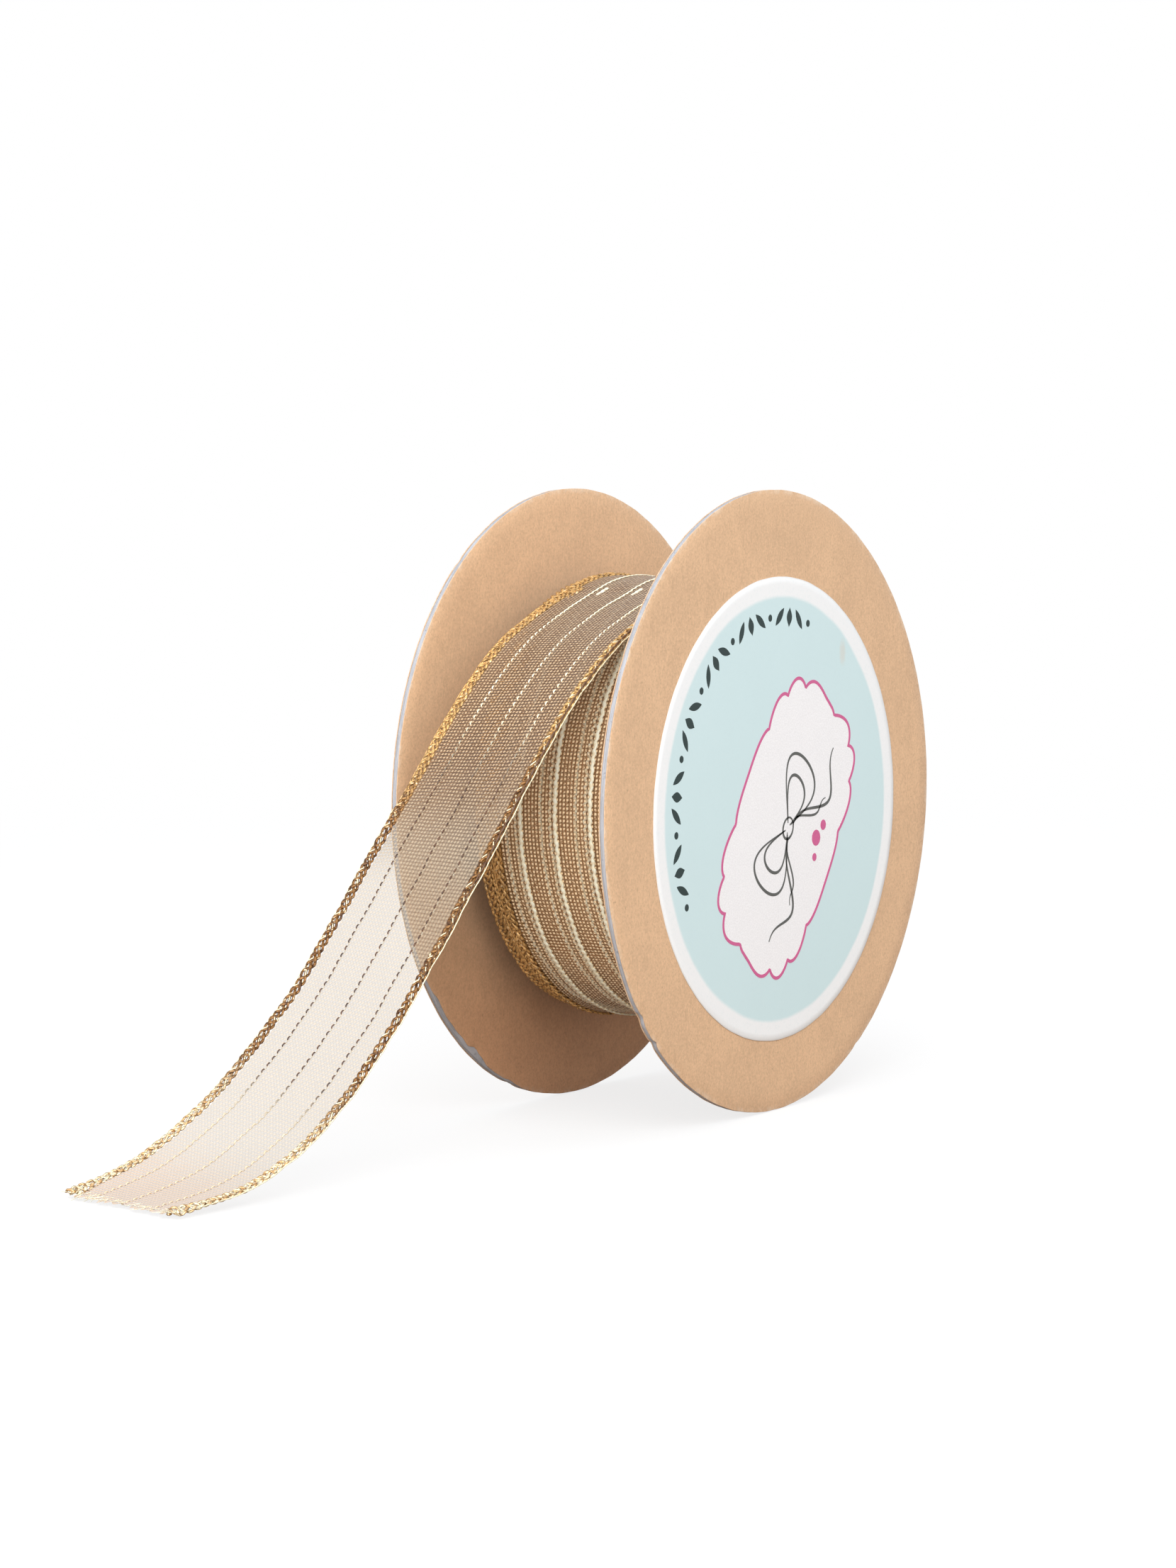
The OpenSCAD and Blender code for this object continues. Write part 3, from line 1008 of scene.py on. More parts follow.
class SPOOL_OT_label(bpy.types.Operator):
    """Make the round label with its plaque, bow and ring of leaves"""

    bl_idname = "spool.label"
    bl_label = "Front label"

    def execute(self, context):
        self.paper()
        plaque = Print(0)
        plaque.shape(plaque_outline())
        plaque.piece("label_plaque", stored("plaque_ink", ink("plaque")))
        line = Print(1)
        line.line(plaque_outline(), 0.42 * MM, closed=True)
        line.piece("label_plaque_line", stored("outline_ink", ink("outline")))
        self.bow()
        self.leaves()
        return {"FINISHED"}

    def paper(self):
        """The label's paper, with a thin rounded edge."""
        angle = np.linspace(0, FULL_TURN, 720, endpoint=False)
        edge = LABEL_RADIUS + 0.02 * MM * ring_ripple(angle, 41, 30)
        soft = 0.03 * MM
        rows = []
        profile = [(share, 0.0, label_low.y) for share in (0.05, 0.3, 0.6, 0.85, 0.97)]
        profile += [(1.0, -soft, label_low.y), (1.0, 0.0, label_low.y + soft)]
        profile += [(1.0, 0.0, label_high.y - 0.2 * soft), (0.97, 0.0, label_high.y)]
        profile += [(0.5, 0.0, label_high.y), (0.05, 0.0, label_high.y)]
        for share, inset, height in profile:
            radius = share * edge + inset
            right = label_middle.x + radius * np.cos(angle)
            up = label_middle.z + radius * np.sin(angle)
            rows.append(np.stack([right, np.full(angle.shape, height), up], 1))
        net = Net()
        grid = np.array(rows)
        count = len(angle)
        net.patch(grid, np.linspace(0, 1, count + 1), np.linspace(0, 1, len(rows)), closed=True)
        net.lid(range(count))
        net.lid(range(len(rows) * count - 1, (len(rows) - 1) * count - 1, -1))
        coated = stored("label_paper", label_paper)
        made = net.piece("label_paper_disc", coated, "spool", "label_paper")
        weld(made)
        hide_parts("front_label")

    def bow(self):
        """A line drawing of a gift bow on the plaque."""
        drawing = Print(2)

        def stroke(points, thin=0.16, thick=0.4):
            """A pen stroke, thin at its ends, through points in the bow's own units."""
            points = np.asarray(points)
            share = np.linspace(0, 1, len(points))
            widths = (thin + (thick - thin) * np.sin(math.pi * share) ** 1.2) * MM
            drawing.line([on_plaque(1.2 * a * MM, 1.2 * b * MM) for a, b in points], widths)

        swing = np.linspace(0.06, math.pi - 0.06, 60)
        for side in (1, -1):
            for reach, height in ((7.6, 6.2), (5.4, 3.6)):
                along = side * reach * np.sin(swing) ** 0.9
                across = 0.5 * height * np.sin(2 * swing) + 0.9 * np.sin(swing)
                stroke(np.stack([along, across], 1))
            fall = np.linspace(0, 1, 50)
            along = side * (1.0 + 10.5 * fall)
            across = -0.7 - 3.4 * np.sin(fall * 2.6) - 1.2 * fall + 0.9 * np.sin(fall * 9)
            stroke(np.stack([along, across], 1))
            along = side * (0.6 + 5.8 * fall)
            across = -0.9 - 4.6 * fall**1.2 + 0.7 * np.sin(fall * 8)
            stroke(np.stack([along, across], 1), 0.12, 0.3)
        around = np.linspace(0, FULL_TURN, 40)
        knot = np.stack([1.15 * np.cos(around), 0.95 * np.sin(around) - 0.05], 1)
        stroke(knot, 0.22, 0.34)
        drawing.piece("label_bow_drawing", stored("drawing_ink", ink("drawing")))
        berries = Print(2)
        for along, across, size in ((2.4, -6.6, 1.0), (4.6, -7.2, 0.65), (0.2, -7.6, 0.5)):
            berry = []
            for turn in np.linspace(0, FULL_TURN, 24, endpoint=False):
                right = (along + size * math.cos(turn)) * MM
                berry.append(on_plaque(right, (across + size * math.sin(turn)) * MM))
            berries.shape(berry)
        berries.piece("label_berries", stored("outline_ink", ink("outline")))

    def leaves(self):
        """Leaves, dots and diamonds in an arc inside the label's border."""
        garland = Print(0)
        lean_leaf = (1.45 * MM, 0.48 * MM, 1.0)
        dot = (0.44 * MM, 0.44 * MM, 0.5)
        diamond = (1.2 * MM, 0.62 * MM, 1.35)
        pattern = ((0.0, dot), (0.75, lean_leaf), (0.0, diamond), (-0.75, lean_leaf))
        for k in range(GARLAND_COUNT):
            share = k / (GARLAND_COUNT - 1)
            angle = math.radians(GARLAND_START + GARLAND_SWEEP * share)
            middle = (GARLAND_RADIUS * math.cos(angle), GARLAND_RADIUS * math.sin(angle))
            tilt, (half_long, half_wide, power) = pattern[k % 4]
            lean = angle + tilt
            outline = []
            for turn in np.linspace(0, FULL_TURN, 28, endpoint=False):
                long_way = half_long * math.cos(turn)
                wide_way = half_wide * rounded(math.sin(turn), 2 * power)
                outline.append(
                    (
                        middle[0] + long_way * math.cos(lean) - wide_way * math.sin(lean),
                        middle[1] + long_way * math.sin(lean) + wide_way * math.cos(lean),
                    )
                )
            garland.shape(outline)
        garland.piece("label_leaves", stored("leaf_ink", ink("leaves")))


# Ribbon


class Run:
    """A length of ribbon: its middle line, and the directions across it and out of its face."""

    def __init__(self, middle, across, outward, relief):
        self.middle = middle
        self.across = across
        self.outward = outward
        steps = np.linalg.norm(np.diff(middle, axis=0), axis=1)
        self.stations = np.concatenate([[0.0], np.cumsum(steps)])
        self.length = self.stations[-1]
        self.relief = relief

    def blend(self, table, along):
        """One of the run's tables at places along it."""
        return np.stack([np.interp(along, self.stations, table[:, k]) for k in range(3)], -1)

    def at(self, along, across, height):
        """Points on the ribbon, from places along and across it and heights above its face."""
        along, across, height = np.broadcast_arrays(along, across, height)
        raised = height + self.relief(along, across)
        point = self.blend(self.middle, along)
        point = point + self.blend(self.across, along) * across[..., None]
        return point + self.blend(self.outward, along) * raised[..., None]

    def sheet(self, net):
        """Adds the whole web."""
        along = np.linspace(0.0, self.length, int(round(self.length / (0.5 * MM))) + 1)
        across = np.linspace(-0.5 * WEB_WIDTH, 0.5 * WEB_WIDTH, WEB_COLUMNS)
        net.patch(self.at(along[:, None], across[None, :], 0.0), across, along)

    def strand(self, net, along, across, height, half_wide, half_thick, sides=6):
        """Adds a strand that follows the ribbon, oval in section and closed at both ends."""
        line = self.at(along, across, height)
        ahead = unit(np.gradient(line, axis=0))
        outward = self.blend(self.outward, along)
        outward = unit(outward - ahead * (outward * ahead).sum(1)[:, None])
        side = np.cross(ahead, outward)
        turn = np.linspace(0, FULL_TURN, sides, endpoint=False)
        half_wide = np.broadcast_to(half_wide, along.shape)
        half_thick = np.broadcast_to(half_thick, along.shape)
        ring = line[:, None, :]
        ring = ring + (half_wide[:, None] * np.cos(turn)[None, :])[..., None] * side[:, None, :]
        ring = ring + (half_thick[:, None] * np.sin(turn)[None, :])[..., None] * outward[:, None, :]
        start = net.patch(ring, np.linspace(0, 1, sides + 1), along, closed=True)
        net.lid(range(start + sides - 1, start - 1, -1))
        last = start + (len(along) - 1) * sides
        net.lid(range(last, last + sides))

    def braid(self, net, middle, first, last, seed, lift=0.0, open_end=0.0, sway=0.5 * MM):
        """Adds a flat three-strand gold braid. open_end is how far from its end it has come loose."""
        setting = sizes()
        step = setting.braid_length / 15
        along = np.arange(first, last, step)
        half = setting.strand_width / 2
        phase = self.braid_phase(along, seed)
        loose = 1.0
        if open_end:
            loose = 1.0 + 1.1 * soft_step((along - last + open_end) / open_end)
        for k in range(3):
            turn = phase + FULL_TURN * k / 3
            rise = 0.15 * MM * np.sin(2 * turn) * loose
            fat = half * (1.0 + 0.15 * ripple(along, seed + k + 1, 5 * MM))
            self.strand(net, along, middle + sway * loose * np.sin(turn), lift + rise, fat, 0.62 * fat)

    def braid_phase(self, along, seed):
        """How far a braid has turned at places along it, uneven as pulled by hand."""
        return FULL_TURN * along / sizes().braid_length + 0.9 * ripple(along, seed, 23 * MM)

    def cords(self, net, middle, first, last, seed, lift, outside):
        """Adds the fine pale cords of a selvedge: one that runs through the braid, and its edge."""
        along = np.arange(first, last, sizes().braid_length / 15)
        phase = self.braid_phase(along, seed)
        turn = phase + 0.5
        place = middle + 0.42 * MM * np.sin(turn)
        height = lift + 0.1 * MM + 0.12 * MM * np.sin(2 * turn)
        self.strand(net, along, place, height, 0.08 * MM, 0.07 * MM, 5)
        wander = 0.05 * MM * ripple(along, seed + 9, 6 * MM)
        edge = middle + outside * (0.74 * MM + wander)
        self.strand(net, along, edge, lift - 0.02 * MM, 0.075 * MM, 0.07 * MM, 5)

    def dashes(self, net, middle, first, last, seed, lift, width, rope=1.0):
        """Adds a stripe's metallic yarn. Where rope is 1 it is an even zigzag rope, and where it
        is 0 it swells into a dash wherever it comes over the web."""
        pitch = sizes().dash_pitch
        step = pitch / 10
        along = np.arange(first, last, step)
        if callable(rope):
            rope = rope(along)
        phase = FULL_TURN * along / pitch
        over = soft_step(0.5 - 0.9 * np.cos(phase))
        drift = 0.05 * MM * ripple(along, seed, 9 * MM)
        zigzag = 0.07 * MM * np.sin(phase) * rope
        swell = 0.3 + 0.7 * over
        half = 0.5 * width * (swell * (1 - rope) + (1.25 + 0.2 * np.cos(phase)) * rope)
        height = lift * ((2 * over - 1) * (1 - rope) + rope)
        thick = 0.05 * MM + 0.3 * (half - 0.05 * MM)
        self.strand(net, along, middle + drift + zigzag, height, half, thick)


def ring_frames(angles, radii, sideways):
    """Stations round the axle. An angle is in degrees past the top towards -X."""
    angle = np.radians(angles)
    middle = around_axle(radii, sideways, angle)
    across = np.tile((0.0, -1.0, 0.0), (len(angle), 1))
    outward = around_axle(1.0, 0.0, angle)
    return middle, across, outward


def running_ribbon():
    """The loose outer turn and the loose end as one run."""
    tuck = 24.0
    angles = np.arange(LEAVE_ANGLE - TURN_ANGLE - tuck, LEAVE_ANGLE, 1.0)
    sunk = soft_step((LEAVE_ANGLE - TURN_ANGLE - angles) / tuck)
    radii = TURN_RADIUS - 0.1 * MM * sunk
    drift = soft_step((LEAVE_ANGLE - angles) / 200)
    turn = ring_frames(angles, radii, TURN_SHIFT - 0.9 * MM * drift)
    leave = math.radians(LEAVE_ANGLE)
    start = (-TURN_RADIUS * math.sin(leave), TURN_SHIFT, TURN_RADIUS * math.cos(leave), 0, 0)
    table = np.array((start,) + LOOSE_ROUTE)
    last = len(table) - 1
    middle = []
    across = []
    outward = []

    def row_at(place):
        i = min(int(place), last - 1)
        t = place - i
        a, b, c, d = (table[max(0, min(last, i + k))] for k in (-1, 0, 1, 2))
        curve = 2 * b + (c - a) * t + (2 * a - 5 * b + 4 * c - d) * t * t
        return 0.5 * (curve + (3 * b - a - 3 * c + d) * t**3)

    for place in np.linspace(0, last, last * 18 + 1):
        row = row_at(place)
        if place == 0:
            ahead = np.array((-math.cos(leave), 0, -math.sin(leave)))
        else:
            ahead = row_at(min(last, place + 0.05))[:3] - row_at(max(0, place - 0.05))[:3]
        ahead = unit(ahead)
        swing, lift = np.radians(row[3:])
        flat = math.cos(lift)
        wide = np.array((-math.sin(swing) * flat, -math.cos(swing) * flat, math.sin(lift)))
        wide = unit(wide - (wide @ ahead) * ahead)
        middle.append(row[:3])
        across.append(wide)
        outward.append(np.cross(ahead, wide))
    turn_length = FULL_TURN * TURN_RADIUS * (TURN_ANGLE + tuck) / 360

    def relief(along, across):
        """Slight waves across the ribbon, stronger where it hangs free, and a slack middle."""
        free = soft_step((along - turn_length - 6 * MM) / (40 * MM))
        rest = ripple(along, 71, 34 * MM)
        edge = (across / (0.5 * RIBBON_WIDTH)) * ripple(along, 72, 27 * MM)
        fine = ripple(along + 0.6 * across, 73, 9 * MM)
        waves = 0.088 * MM * rest + 0.1 * MM * edge + 0.05 * MM * fine
        bow = -0.12 * MM * (1 - (across / (0.5 * WEB_WIDTH)) ** 2)
        sag = np.where(np.abs(across) < 0.5 * WEB_WIDTH, bow, 0.0)
        landed = soft_step((along - turn_length - 90 * MM) / (14 * MM))
        return waves * free * (1 - 0.8 * landed) + sag * (0.4 + 0.6 * free)

    tables = [np.concatenate(pair) for pair in zip(turn, (middle, across, outward))]
    return Run(*tables, relief), turn_length


TOP_RADIUS = 26.72 * MM
TWIST_PER_ROW = 0.13
SHEER_TURNS = 2.3
EDGE_TURNS = 4.6
SLIPS = (0.5, -0.9, 0.6, -1.7, 0.1, -1.3, 0.2)


def slip_at(turns):
    """How far a wound turn has slipped along the axle, by turns counted from the outermost."""
    whole = np.clip(np.floor(turns).astype(int), 0, len(SLIPS) - 2)
    share = soft_step((turns - whole - 0.25) * 2)
    slips = np.array(SLIPS) * MM
    return slips[whole] * (1 - share) + slips[whole + 1] * share


def wound_turns(turns):
    """The outer turns of the wound ribbon as one run, spiralling inwards."""
    start_angle = 40.0
    count = int(turns * 360) + 1
    passed = np.linspace(0, turns, count)
    angles = start_angle - 360 * passed
    radii = TOP_RADIUS - sizes().layer_step * passed
    sideways = WOUND_SHIFT + slip_at(passed) + 0.12 * MM * ripple(passed, 81, 0.9)
    middle, across, outward = ring_frames(angles, radii, sideways)

    def relief(along, across):
        """Faint ridges, and a middle that lies a little lower than the edges."""
        ridge = 0.05 * MM * ripple(along + 0.3 * across, 82, 17 * MM)
        return ridge - 0.06 * MM * (1 - (across / (0.5 * RIBBON_WIDTH)) ** 2)

    return Run(middle, across, outward, relief)


class SPOOL_OT_wound_ribbon(bpy.types.Operator):
    """Make the wound ribbon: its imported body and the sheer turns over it"""

    bl_idname = "spool.wound_ribbon"
    bl_label = "Wound ribbon"

    def execute(self, context):
        low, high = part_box("wound_web")
        columns = []
        for share in np.linspace(0, 1, 73):
            y = low.y + share * (high.y - low.y)
            across = WOUND_SHIFT - y
            ridge = sum(math.exp(-(((across - p) / (0.35 * MM)) ** 2)) for p in STRIPE_PLACES)
            columns.append((y, WOUND_TOP + 0.1 * MM * ridge, across))
        angle = np.linspace(0, FULL_TURN, WOUND_POINTS, endpoint=False)
        rows = []
        marks = []
        for y, radius, across in columns:
            wave = radius + 0.05 * MM * ring_ripple(angle + 30 * across, 91, 5, 5)
            rows.append(around_axle(wave, y, angle))
            marks.append(across)
        for y in (high.y, low.y):
            rows.append(around_axle(WOUND_BORE, y, angle))
            marks.append(marks[-1])
        rows.append(rows[0])
        marks.append(marks[0])
        net = Net()
        grid = np.array(rows)
        around = np.linspace(0, FULL_TURN * WOUND_TOP, WOUND_POINTS + 1)
        net.patch(grid, around, np.array(marks), closed=True)
        net.places = [pair[:, ::-1] for pair in net.places]
        body = net.piece("wound_body", stored("packed_cloth", packed_cloth), "spool", "sheer_web")
        weld(body)
        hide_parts("wound_web")
        run = wound_turns(SHEER_TURNS)
        net = Net()
        run.sheet(net)
        cloth = stored("sheer_cloth", sheer_cloth(0.3))
        turns = net.piece("wound_upper_turns", cloth, "spool", "sheer_web")
        net = Net()
        for k, place in enumerate(STRIPE_PLACES):
            run.dashes(net, place, 0.0, run.length, 60 + k, 0.42 * MM, 0.4 * MM, 0.6)
        yarn = stored("wound_stripe_yarn", stripe_thread("stripe"))
        stripes = net.piece("wound_stripe_threads", yarn, "spool", "metallic_stripe", "strand")
        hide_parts("wound_pinstripes")
        return {"FINISHED"}


class SPOOL_OT_wound_edges(bpy.types.Operator):
    """Make the gold selvedges of the wound ribbon at both ends of the winding"""

    bl_idname = "spool.wound_edges"
    bl_label = "Wound selvedges"

    def execute(self, context):
        gold = stored("gold_yarn", gold_strand("gold"))
        shaded = stored("shaded_gold_yarn", gold_strand("gold_brown"))
        for end, node in ((1, "wound_selvedge_front"), (-1, "wound_selvedge_back")):
            self.stack(end, node, shaded)
        run = wound_turns(EDGE_TURNS)
        edge = 0.5 * (WEB_WIDTH + SELVEDGE_WIDTH)
        for end, name in ((1, "front"), (-1, "back")):
            net = Net()
            lift = 0.2 * MM if end < 0 else 0.05 * MM
            run.braid(net, end * edge, 0.0, run.length, 101 + end, lift)
            net.piece("wound_edge_braid_" + name, gold, "spool", "gold_selvedge", "strand")
        return {"FINISHED"}

    def stack(self, end, node, material):
        """The stacked edges of the inner turns, each one slipped a little along the axle."""
        low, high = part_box(node)
        inside = high.y if end > 0 else low.y
        outside = low.y if end > 0 else high.y
        layers = 27
        count = 480
        angle = np.linspace(0, FULL_TURN, count, endpoint=False)
        chance = np.random.default_rng(200 + end)
        rows = [(WOUND_BORE, np.full(count, place)) for place in (inside, outside)]
        step = (EDGE_STACK_TOP - WOUND_BORE) / layers
        for k in range(layers):
            bottom = WOUND_BORE + step * k
            slip = chance.uniform(-0.5, 0.2) * MM
            edge = outside - end * (slip + 0.2 * MM * ring_ripple(angle, 210 + 3 * k + end, 2, 4))
            knots = 0.09 * MM * np.sin(angle * 96 + chance.uniform(0, FULL_TURN))
            for share, sunk in ((0.08, 0.35), (0.3, 0.05), (0.55, 0.0), (0.8, 0.1)):
                rows.append((bottom + share * step, edge + end * (sunk * MM + knots * (1 - sunk))))
        rows.append((EDGE_STACK_TOP, rows[-1][1]))
        rows.append((EDGE_STACK_TOP, np.full(count, inside)))
        points = [around_axle(radius, place, angle) for radius, place in rows]
        points.append(points[0])
        net = Net()
        grid = np.array(points)
        around = np.linspace(0, FULL_TURN * EDGE_STACK_TOP, count + 1)
        net.patch(grid, around, np.arange(len(points)) * TWIST_PER_ROW, closed=True)
        net.places = [pair[:, ::-1] for pair in net.places]
        made = net.piece(node + "_stack", material, "spool", "gold_selvedge", "strand")
        weld(made)
        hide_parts(node)


class SPOOL_OT_loose_ribbon(bpy.types.Operator):
    """Make the loose outer turn and the loose end as one sheer ribbon with its trimmings"""

    bl_idname = "spool.loose_ribbon"
    bl_label = "Loose ribbon"

    def execute(self, context):
        run, turn_length = running_ribbon()
        bright_reflection_from = run.length - PALE_BRAID
        net = Net()
        run.sheet(net)
        self.fray(net)
        cloth = stored("loose_cloth", sheer_cloth(0.95, turn_length, run.length - FLAT_END))
        web = net.piece("loose_web", cloth, "loose_end", "sheer_web")
        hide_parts("outer_turn_web", "tail_web")
        dark_from = turn_length + BROWN_FRONT
        dashed = stripe_thread("stripe", dark_from, run.length - PALE_STRIPES)
        yarn = stored("dashed_yarn", dashed)
        pale_yarn = stored("stripe_yarn", stripe_thread())
        edge = 0.5 * (WEB_WIDTH + SELVEDGE_WIDTH)
        finish = run.length + 0.4 * MM
        for end, name, hanging in ((1, "front", BROWN_FRONT), (-1, "back", BROWN_BACK)):
            seed = 121 + 20 * end
            start = turn_length + hanging
            gold = stored("gold_yarn_" + name, gold_strand("gold", start, bright_reflection_from))
            net = Net()
            run.braid(net, end * edge, 0.0, finish, seed, 0.06 * MM, 6 * MM)
            self.trim(net, "loose_braid_" + name, gold)
            # painted highlight: each selvedge's cords are drawn pale from here on
            cord_highlight_from = turn_length - 10 * MM if end > 0 else start
            cord = stored("cord_yarn_" + name, stripe_thread("gold", highlight_from=cord_highlight_from))
            net = Net()
            run.cords(net, end * edge, 0.0, finish, seed, 0.06 * MM, end)
            self.trim(net, "loose_cords_" + name, cord)
        self.dark_thread(run, turn_length, edge)
        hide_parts("outer_turn_selvedges", "tail_selvedge_front")
        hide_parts("tail_selvedge_back")

        def rope(along):
            """1 on the spool, where the stripes are rope, and 0 once the ribbon hangs."""
            return 1 - soft_step((along - turn_length - 4 * MM) / (10 * MM))

        places = np.arange(0.0, run.length + 0.5 * MM, sizes().dash_pitch / 10)
        widths = (0.42 - 0.2 * soft_step((places - turn_length + 60 * MM) / (40 * MM))) * MM
        net = Net()
        for k, place in enumerate(STRIPE_PLACES):
            run.dashes(net, place, 0.0, run.length + 0.5 * MM, 130 + k, 0.1 * MM, widths, rope)
        stripes = net.piece("loose_stripe_threads", yarn, "loose_end", "metallic_stripe", "strand")
        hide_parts("outer_turn_pinstripes", "tail_pinstripes")
        self.threads(run, pale_yarn)
        return {"FINISHED"}

    def trim(self, net, name, yarn):
        """One of the loose ribbon's selvedge pieces."""
        return net.piece(name, yarn, "loose_end", "gold_selvedge", "strand")

    def dark_thread(self, run, turn_length, edge):
        """A dark beaded strand along the front selvedge, where it leaves the spool: a painted shadow of
        the gap at the ribbon's edge.
        """
        net = Net()
        first, last = PAINTED_SHADOW_SPAN
        shade = np.arange(turn_length + first, turn_length + last, 0.12 * MM)
        swell = 0.5 + 0.5 * np.sin(FULL_TURN * shade / (1.3 * MM))
        ends = soft_step((shade - shade[0]) / (16 * MM)) * soft_step((shade[-1] - shade) / (24 * MM))
        half = (0.03 + 0.11 * soft_step(0.25 + 1.2 * swell) * ends) * MM
        run.strand(net, shade, edge + 0.58 * MM, 0.34 * MM, half, half, 5)
        return self.trim(net, "loose_dark_thread", stored("dark_yarn", stripe_thread("gold_dark")))

    def fray(self, net):
        """Pulls the web's last points into a ragged cut."""
        rows = net.points[0].reshape(-1, WEB_COLUMNS, 3)
        chance = np.random.default_rng(140)
        ahead = unit(rows[-1] - rows[-2])
        reach = chance.uniform(-0.2, 0.9, WEB_COLUMNS) * MM
        rows[-1] = rows[-1] + ahead * reach[:, None]

    def threads(self, run, yarn):
        """Loose thread ends past the cut."""
        chance = np.random.default_rng(150)
        net = Net()
        for k in range(46):
            low, high = (0.41, 0.49) if k % 4 == 3 else (-0.48, 0.48)
            across = chance.uniform(low, high) * RIBBON_WIDTH
            length = chance.uniform(0.4, 2.2) * MM
            start = run.length - chance.uniform(0.2, 1.2) * MM
            count = 9
            share = np.linspace(0, 1, count)
            base = run.at(np.array([start, run.length]), across, 0.0)
            ahead = unit(base[1] - base[0])
            wide = run.across[-1]
            out = run.outward[-1]
            bend = chance.uniform(-0.6, 0.6)
            rise = chance.uniform(0.08, 0.5)
            line = base[0] + ahead * (share[:, None] * length)
            line = line + wide * (bend * share[:, None] ** 2 * length)
            line = line + out * (rise * share[:, None] ** 2 * length)
            radius = chance.uniform(0.03, 0.07) * MM * (1 - 0.5 * share)
            turn = np.linspace(0, FULL_TURN, 5, endpoint=False)
            ring = line[:, None, :] + radius[:, None, None] * (
                np.cos(turn)[None, :, None] * wide + np.sin(turn)[None, :, None] * out
            )
            first = net.patch(ring, np.linspace(0, 1, 6), share * length, closed=True)
            net.lid(range(first + 4, first - 1, -1))
            net.lid(range(first + (count - 1) * 5, first + count * 5))
        return net.piece("loose_thread_ends", yarn, "loose_end", "sheer_web", "strand")


# Stage

FLOOR_POINTS = 96

# Lamps: name, place in metres, diameter and power. Each one faces the middle of the spool.
LAMPS = (
    ("key_light", (-0.66, -0.58, 0.7), 0.7, 6.5),
    ("top_light", (-0.5, 0.1, 0.9), 0.6, 2.0),
    ("side_light", (-0.85, -0.25, 0.16), 0.6, 4.2),
    ("fill_light", (0.8, -0.5, 0.3), 0.8, 0.9),
)
SURROUND_SEEN = 1.0
SURROUND_LIGHT = 0.76
# The camera's place and what it looks at, in millimetres, and its roll in degrees.
CAMERA_PLACE = (-464.4, -294.8, 51.0)
CAMERA_TARGET = (-5.45, 8.51, 1.63)
CAMERA_ROLL = -0.61
LENS_LENGTH = 102.34


def pale_floor(shades):
    """A near-white floor, softly lit from within, that fades out with distance."""
    place = shades.place()
    reach = shades.node("VectorMath", {0: place}, operation="LENGTH").outputs["Value"]
    seen = shades.node("LightPath").outputs["Is Camera Ray"]
    colour = shades.mix(seen, paint(164, 148, 134), paint(252, 252, 252))
    matt = shades.node("BsdfDiffuse", {"Color": colour})
    glow = shades.node("Emission", {"Color": paint(254, 254, 254), "Strength": 1.0})
    shader = shades.node("MixShader", {0: shades.times(seen, 0.78)})
    shades.feed(shader.inputs[1], matt.outputs[0])
    shades.feed(shader.inputs[2], glow.outputs[0])
    clear = shades.node("BsdfTransparent")
    mixed = shades.node("MixShader", {0: shades.band(reach, 0.16, 0.5)})
    shades.feed(mixed.inputs[1], shader.outputs[0])
    shades.feed(mixed.inputs[2], clear.outputs[0])
    shades.node("OutputMaterial", {"Surface": mixed.outputs[0]})
    return shades.material


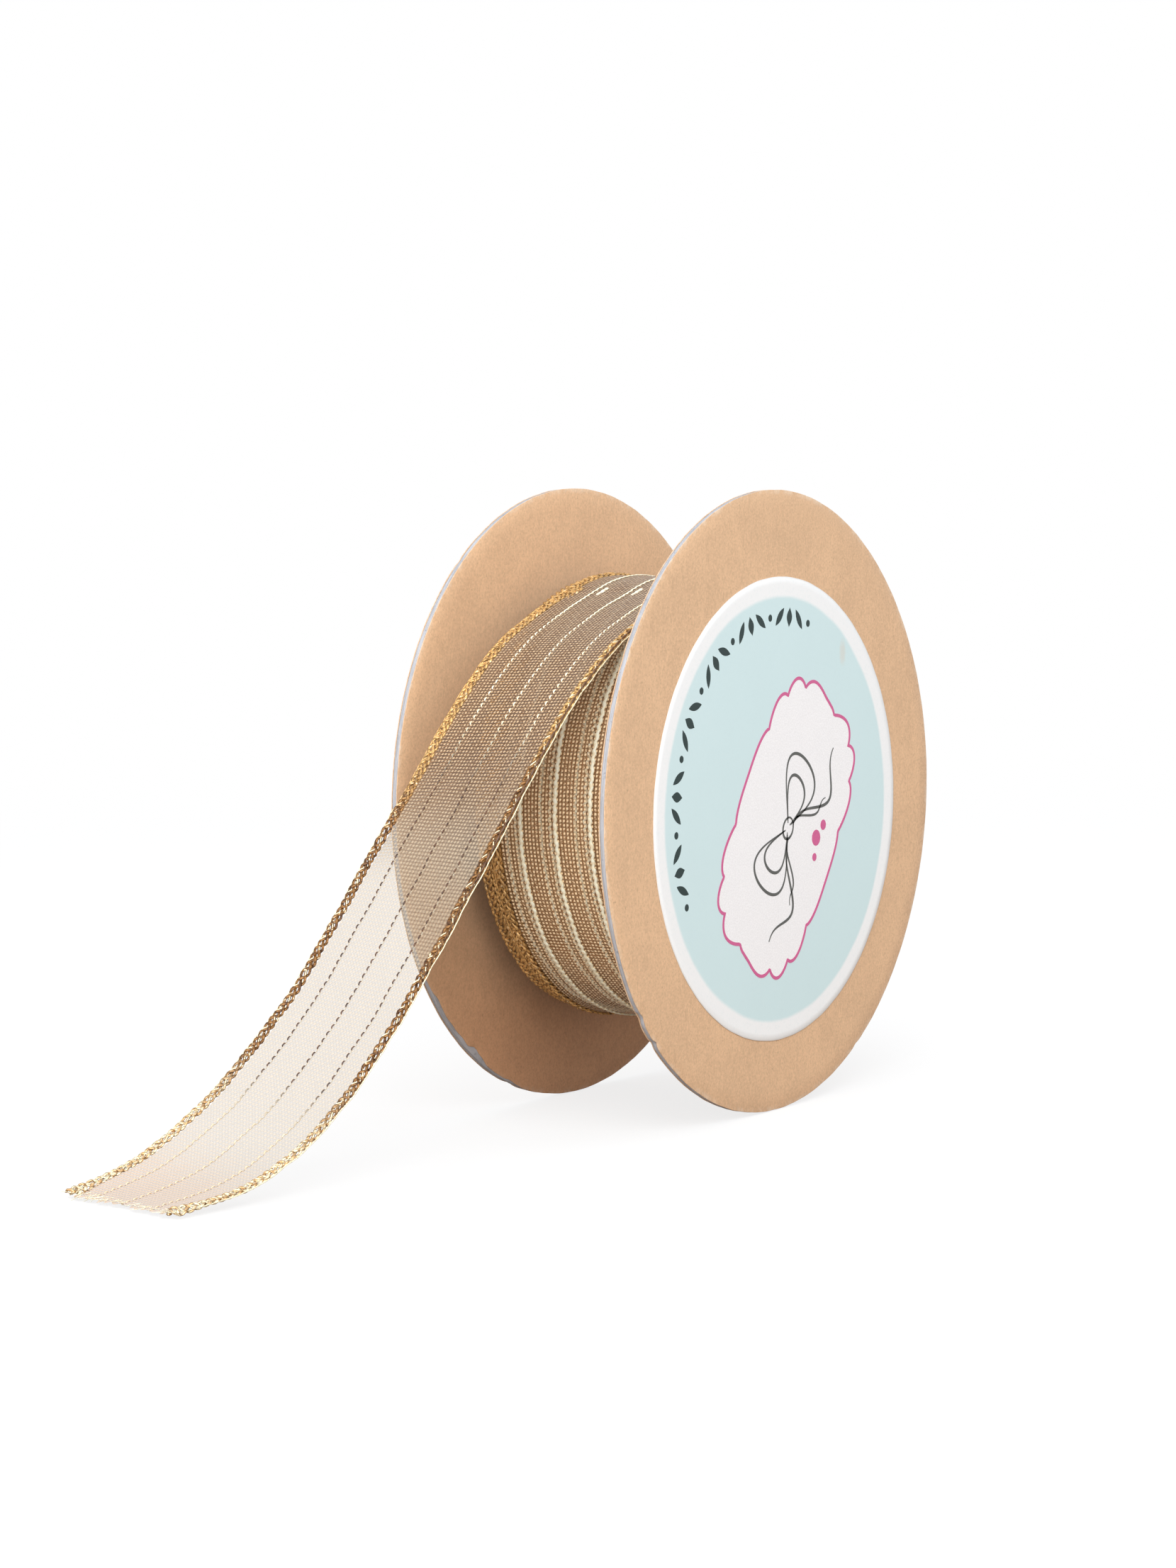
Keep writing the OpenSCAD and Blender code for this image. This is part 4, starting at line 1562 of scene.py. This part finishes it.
class SPOOL_OT_stage(bpy.types.Operator):
    """Set up the pale floor, the soft light and the camera"""

    bl_idname = "spool.stage"
    bl_label = "Stage"

    def execute(self, context):
        scene = context.scene
        scene.view_settings.view_transform = "Standard"
        self.floor(scene)
        self.light(scene)
        self.camera(scene)
        return {"FINISHED"}

    def floor(self, scene):
        """A large disc under the spool's lowest point."""
        mesh = bpy.data.meshes.new("floor")
        ground = -FLANGE_RADIUS - 0.05 * MM
        rings = []
        for radius in (0.12, 0.6, 2.0):
            for k in range(FLOOR_POINTS):
                angle = FULL_TURN * k / FLOOR_POINTS
                rings.append((radius * math.cos(angle), radius * math.sin(angle), ground))
        faces = [list(range(FLOOR_POINTS))]
        for ring in range(2):
            for k in range(FLOOR_POINTS):
                a = ring * FLOOR_POINTS + k
                b = ring * FLOOR_POINTS + (k + 1) % FLOOR_POINTS
                faces.append([a, b, b + FLOOR_POINTS, a + FLOOR_POINTS])
        mesh.from_pydata(rings, [], faces)
        mesh.materials.append(stored("pale_floor", pale_floor))
        floor = bpy.data.objects.new("floor", mesh)
        scene.collection.objects.link(floor)

    def light(self, scene):
        """A white surround, seen brighter than it lights, and four soft round lamps."""
        world = bpy.data.worlds.new("white_surround")
        world.use_nodes = True
        tree = world.node_tree
        tree.nodes.clear()
        seen = tree.nodes.new("ShaderNodeBackground")
        seen.inputs["Color"].default_value = (1, 1, 1, 1)
        seen.inputs["Strength"].default_value = SURROUND_SEEN
        lit = tree.nodes.new("ShaderNodeBackground")
        lit.inputs["Color"].default_value = (*paint(250, 252, 255), 1)
        lit.inputs["Strength"].default_value = SURROUND_LIGHT
        ray = tree.nodes.new("ShaderNodeLightPath")
        mixed = tree.nodes.new("ShaderNodeMixShader")
        output = tree.nodes.new("ShaderNodeOutputWorld")
        tree.links.new(ray.outputs["Is Camera Ray"], mixed.inputs[0])
        tree.links.new(lit.outputs[0], mixed.inputs[1])
        tree.links.new(seen.outputs[0], mixed.inputs[2])
        tree.links.new(mixed.outputs[0], output.inputs[0])
        scene.world = world
        for name, place, width, power in LAMPS:
            lamp = bpy.data.lights.new(name, "AREA")
            lamp.shape = "DISK"
            lamp.size = width
            lamp.energy = power
            holder = bpy.data.objects.new(name, lamp)
            holder.location = place
            holder.rotation_euler = (-Vector(place)).to_track_quat("-Z", "Y").to_euler()
            scene.collection.objects.link(holder)

    def camera(self, scene):
        """A long lens from the front left, a little above the axle."""
        place = Vector(CAMERA_PLACE) * MM
        target = Vector(CAMERA_TARGET) * MM
        lens = bpy.data.cameras.new("camera")
        lens.sensor_width = 36
        lens.lens = LENS_LENGTH
        lens.clip_start = 0.01
        holder = bpy.data.objects.new("camera", lens)
        holder.location = place
        aim = (target - place).to_track_quat("-Z", "Y")
        holder.rotation_euler = (aim @ Quaternion((0, 0, 1), math.radians(CAMERA_ROLL))).to_euler()
        scene.collection.objects.link(holder)
        scene.camera = holder


class SPOOL_PT_panel(bpy.types.Panel):
    """Lists the spool's sizes, colours and pieces"""

    bl_idname = "SPOOL_PT_panel"
    bl_label = "Ribbon spool"
    bl_space_type = "VIEW_3D"
    bl_region_type = "UI"
    bl_category = "Ribbon spool"

    def draw(self, context):
        layout = self.layout
        for group in (context.scene.spool_sizes, context.scene.spool_colours):
            box = layout.box()
            for key in group.bl_rna.properties.keys():
                if key not in ("rna_type", "name"):
                    box.prop(group, key)
        for operator in OPERATORS:
            layout.operator(operator.bl_idname)


OPERATORS = (
    SPOOL_OT_flanges,
    SPOOL_OT_core,
    SPOOL_OT_label,
    SPOOL_OT_wound_ribbon,
    SPOOL_OT_wound_edges,
    SPOOL_OT_loose_ribbon,
    SPOOL_OT_stage,
)
CLASSES = (SpoolSizes, SpoolColours, *OPERATORS, SPOOL_PT_panel)


def register():
    """Adds the add-on's classes and its settings on the scene."""
    for kind in CLASSES:
        bpy.utils.register_class(kind)
    bpy.types.Scene.spool_sizes = bpy.props.PointerProperty(type=SpoolSizes)
    bpy.types.Scene.spool_colours = bpy.props.PointerProperty(type=SpoolColours)


def unregister():
    """Takes away what register() adds."""
    del bpy.types.Scene.spool_colours
    del bpy.types.Scene.spool_sizes
    for kind in reversed(CLASSES):
        bpy.utils.unregister_class(kind)


def main():
    """Makes every piece in order."""
    register()
    bpy.ops.spool.flanges()
    bpy.ops.spool.core()
    bpy.ops.spool.label()
    bpy.ops.spool.wound_ribbon()
    bpy.ops.spool.wound_edges()
    bpy.ops.spool.loose_ribbon()
    bpy.ops.spool.stage()


if __name__ == "__main__":
    main()
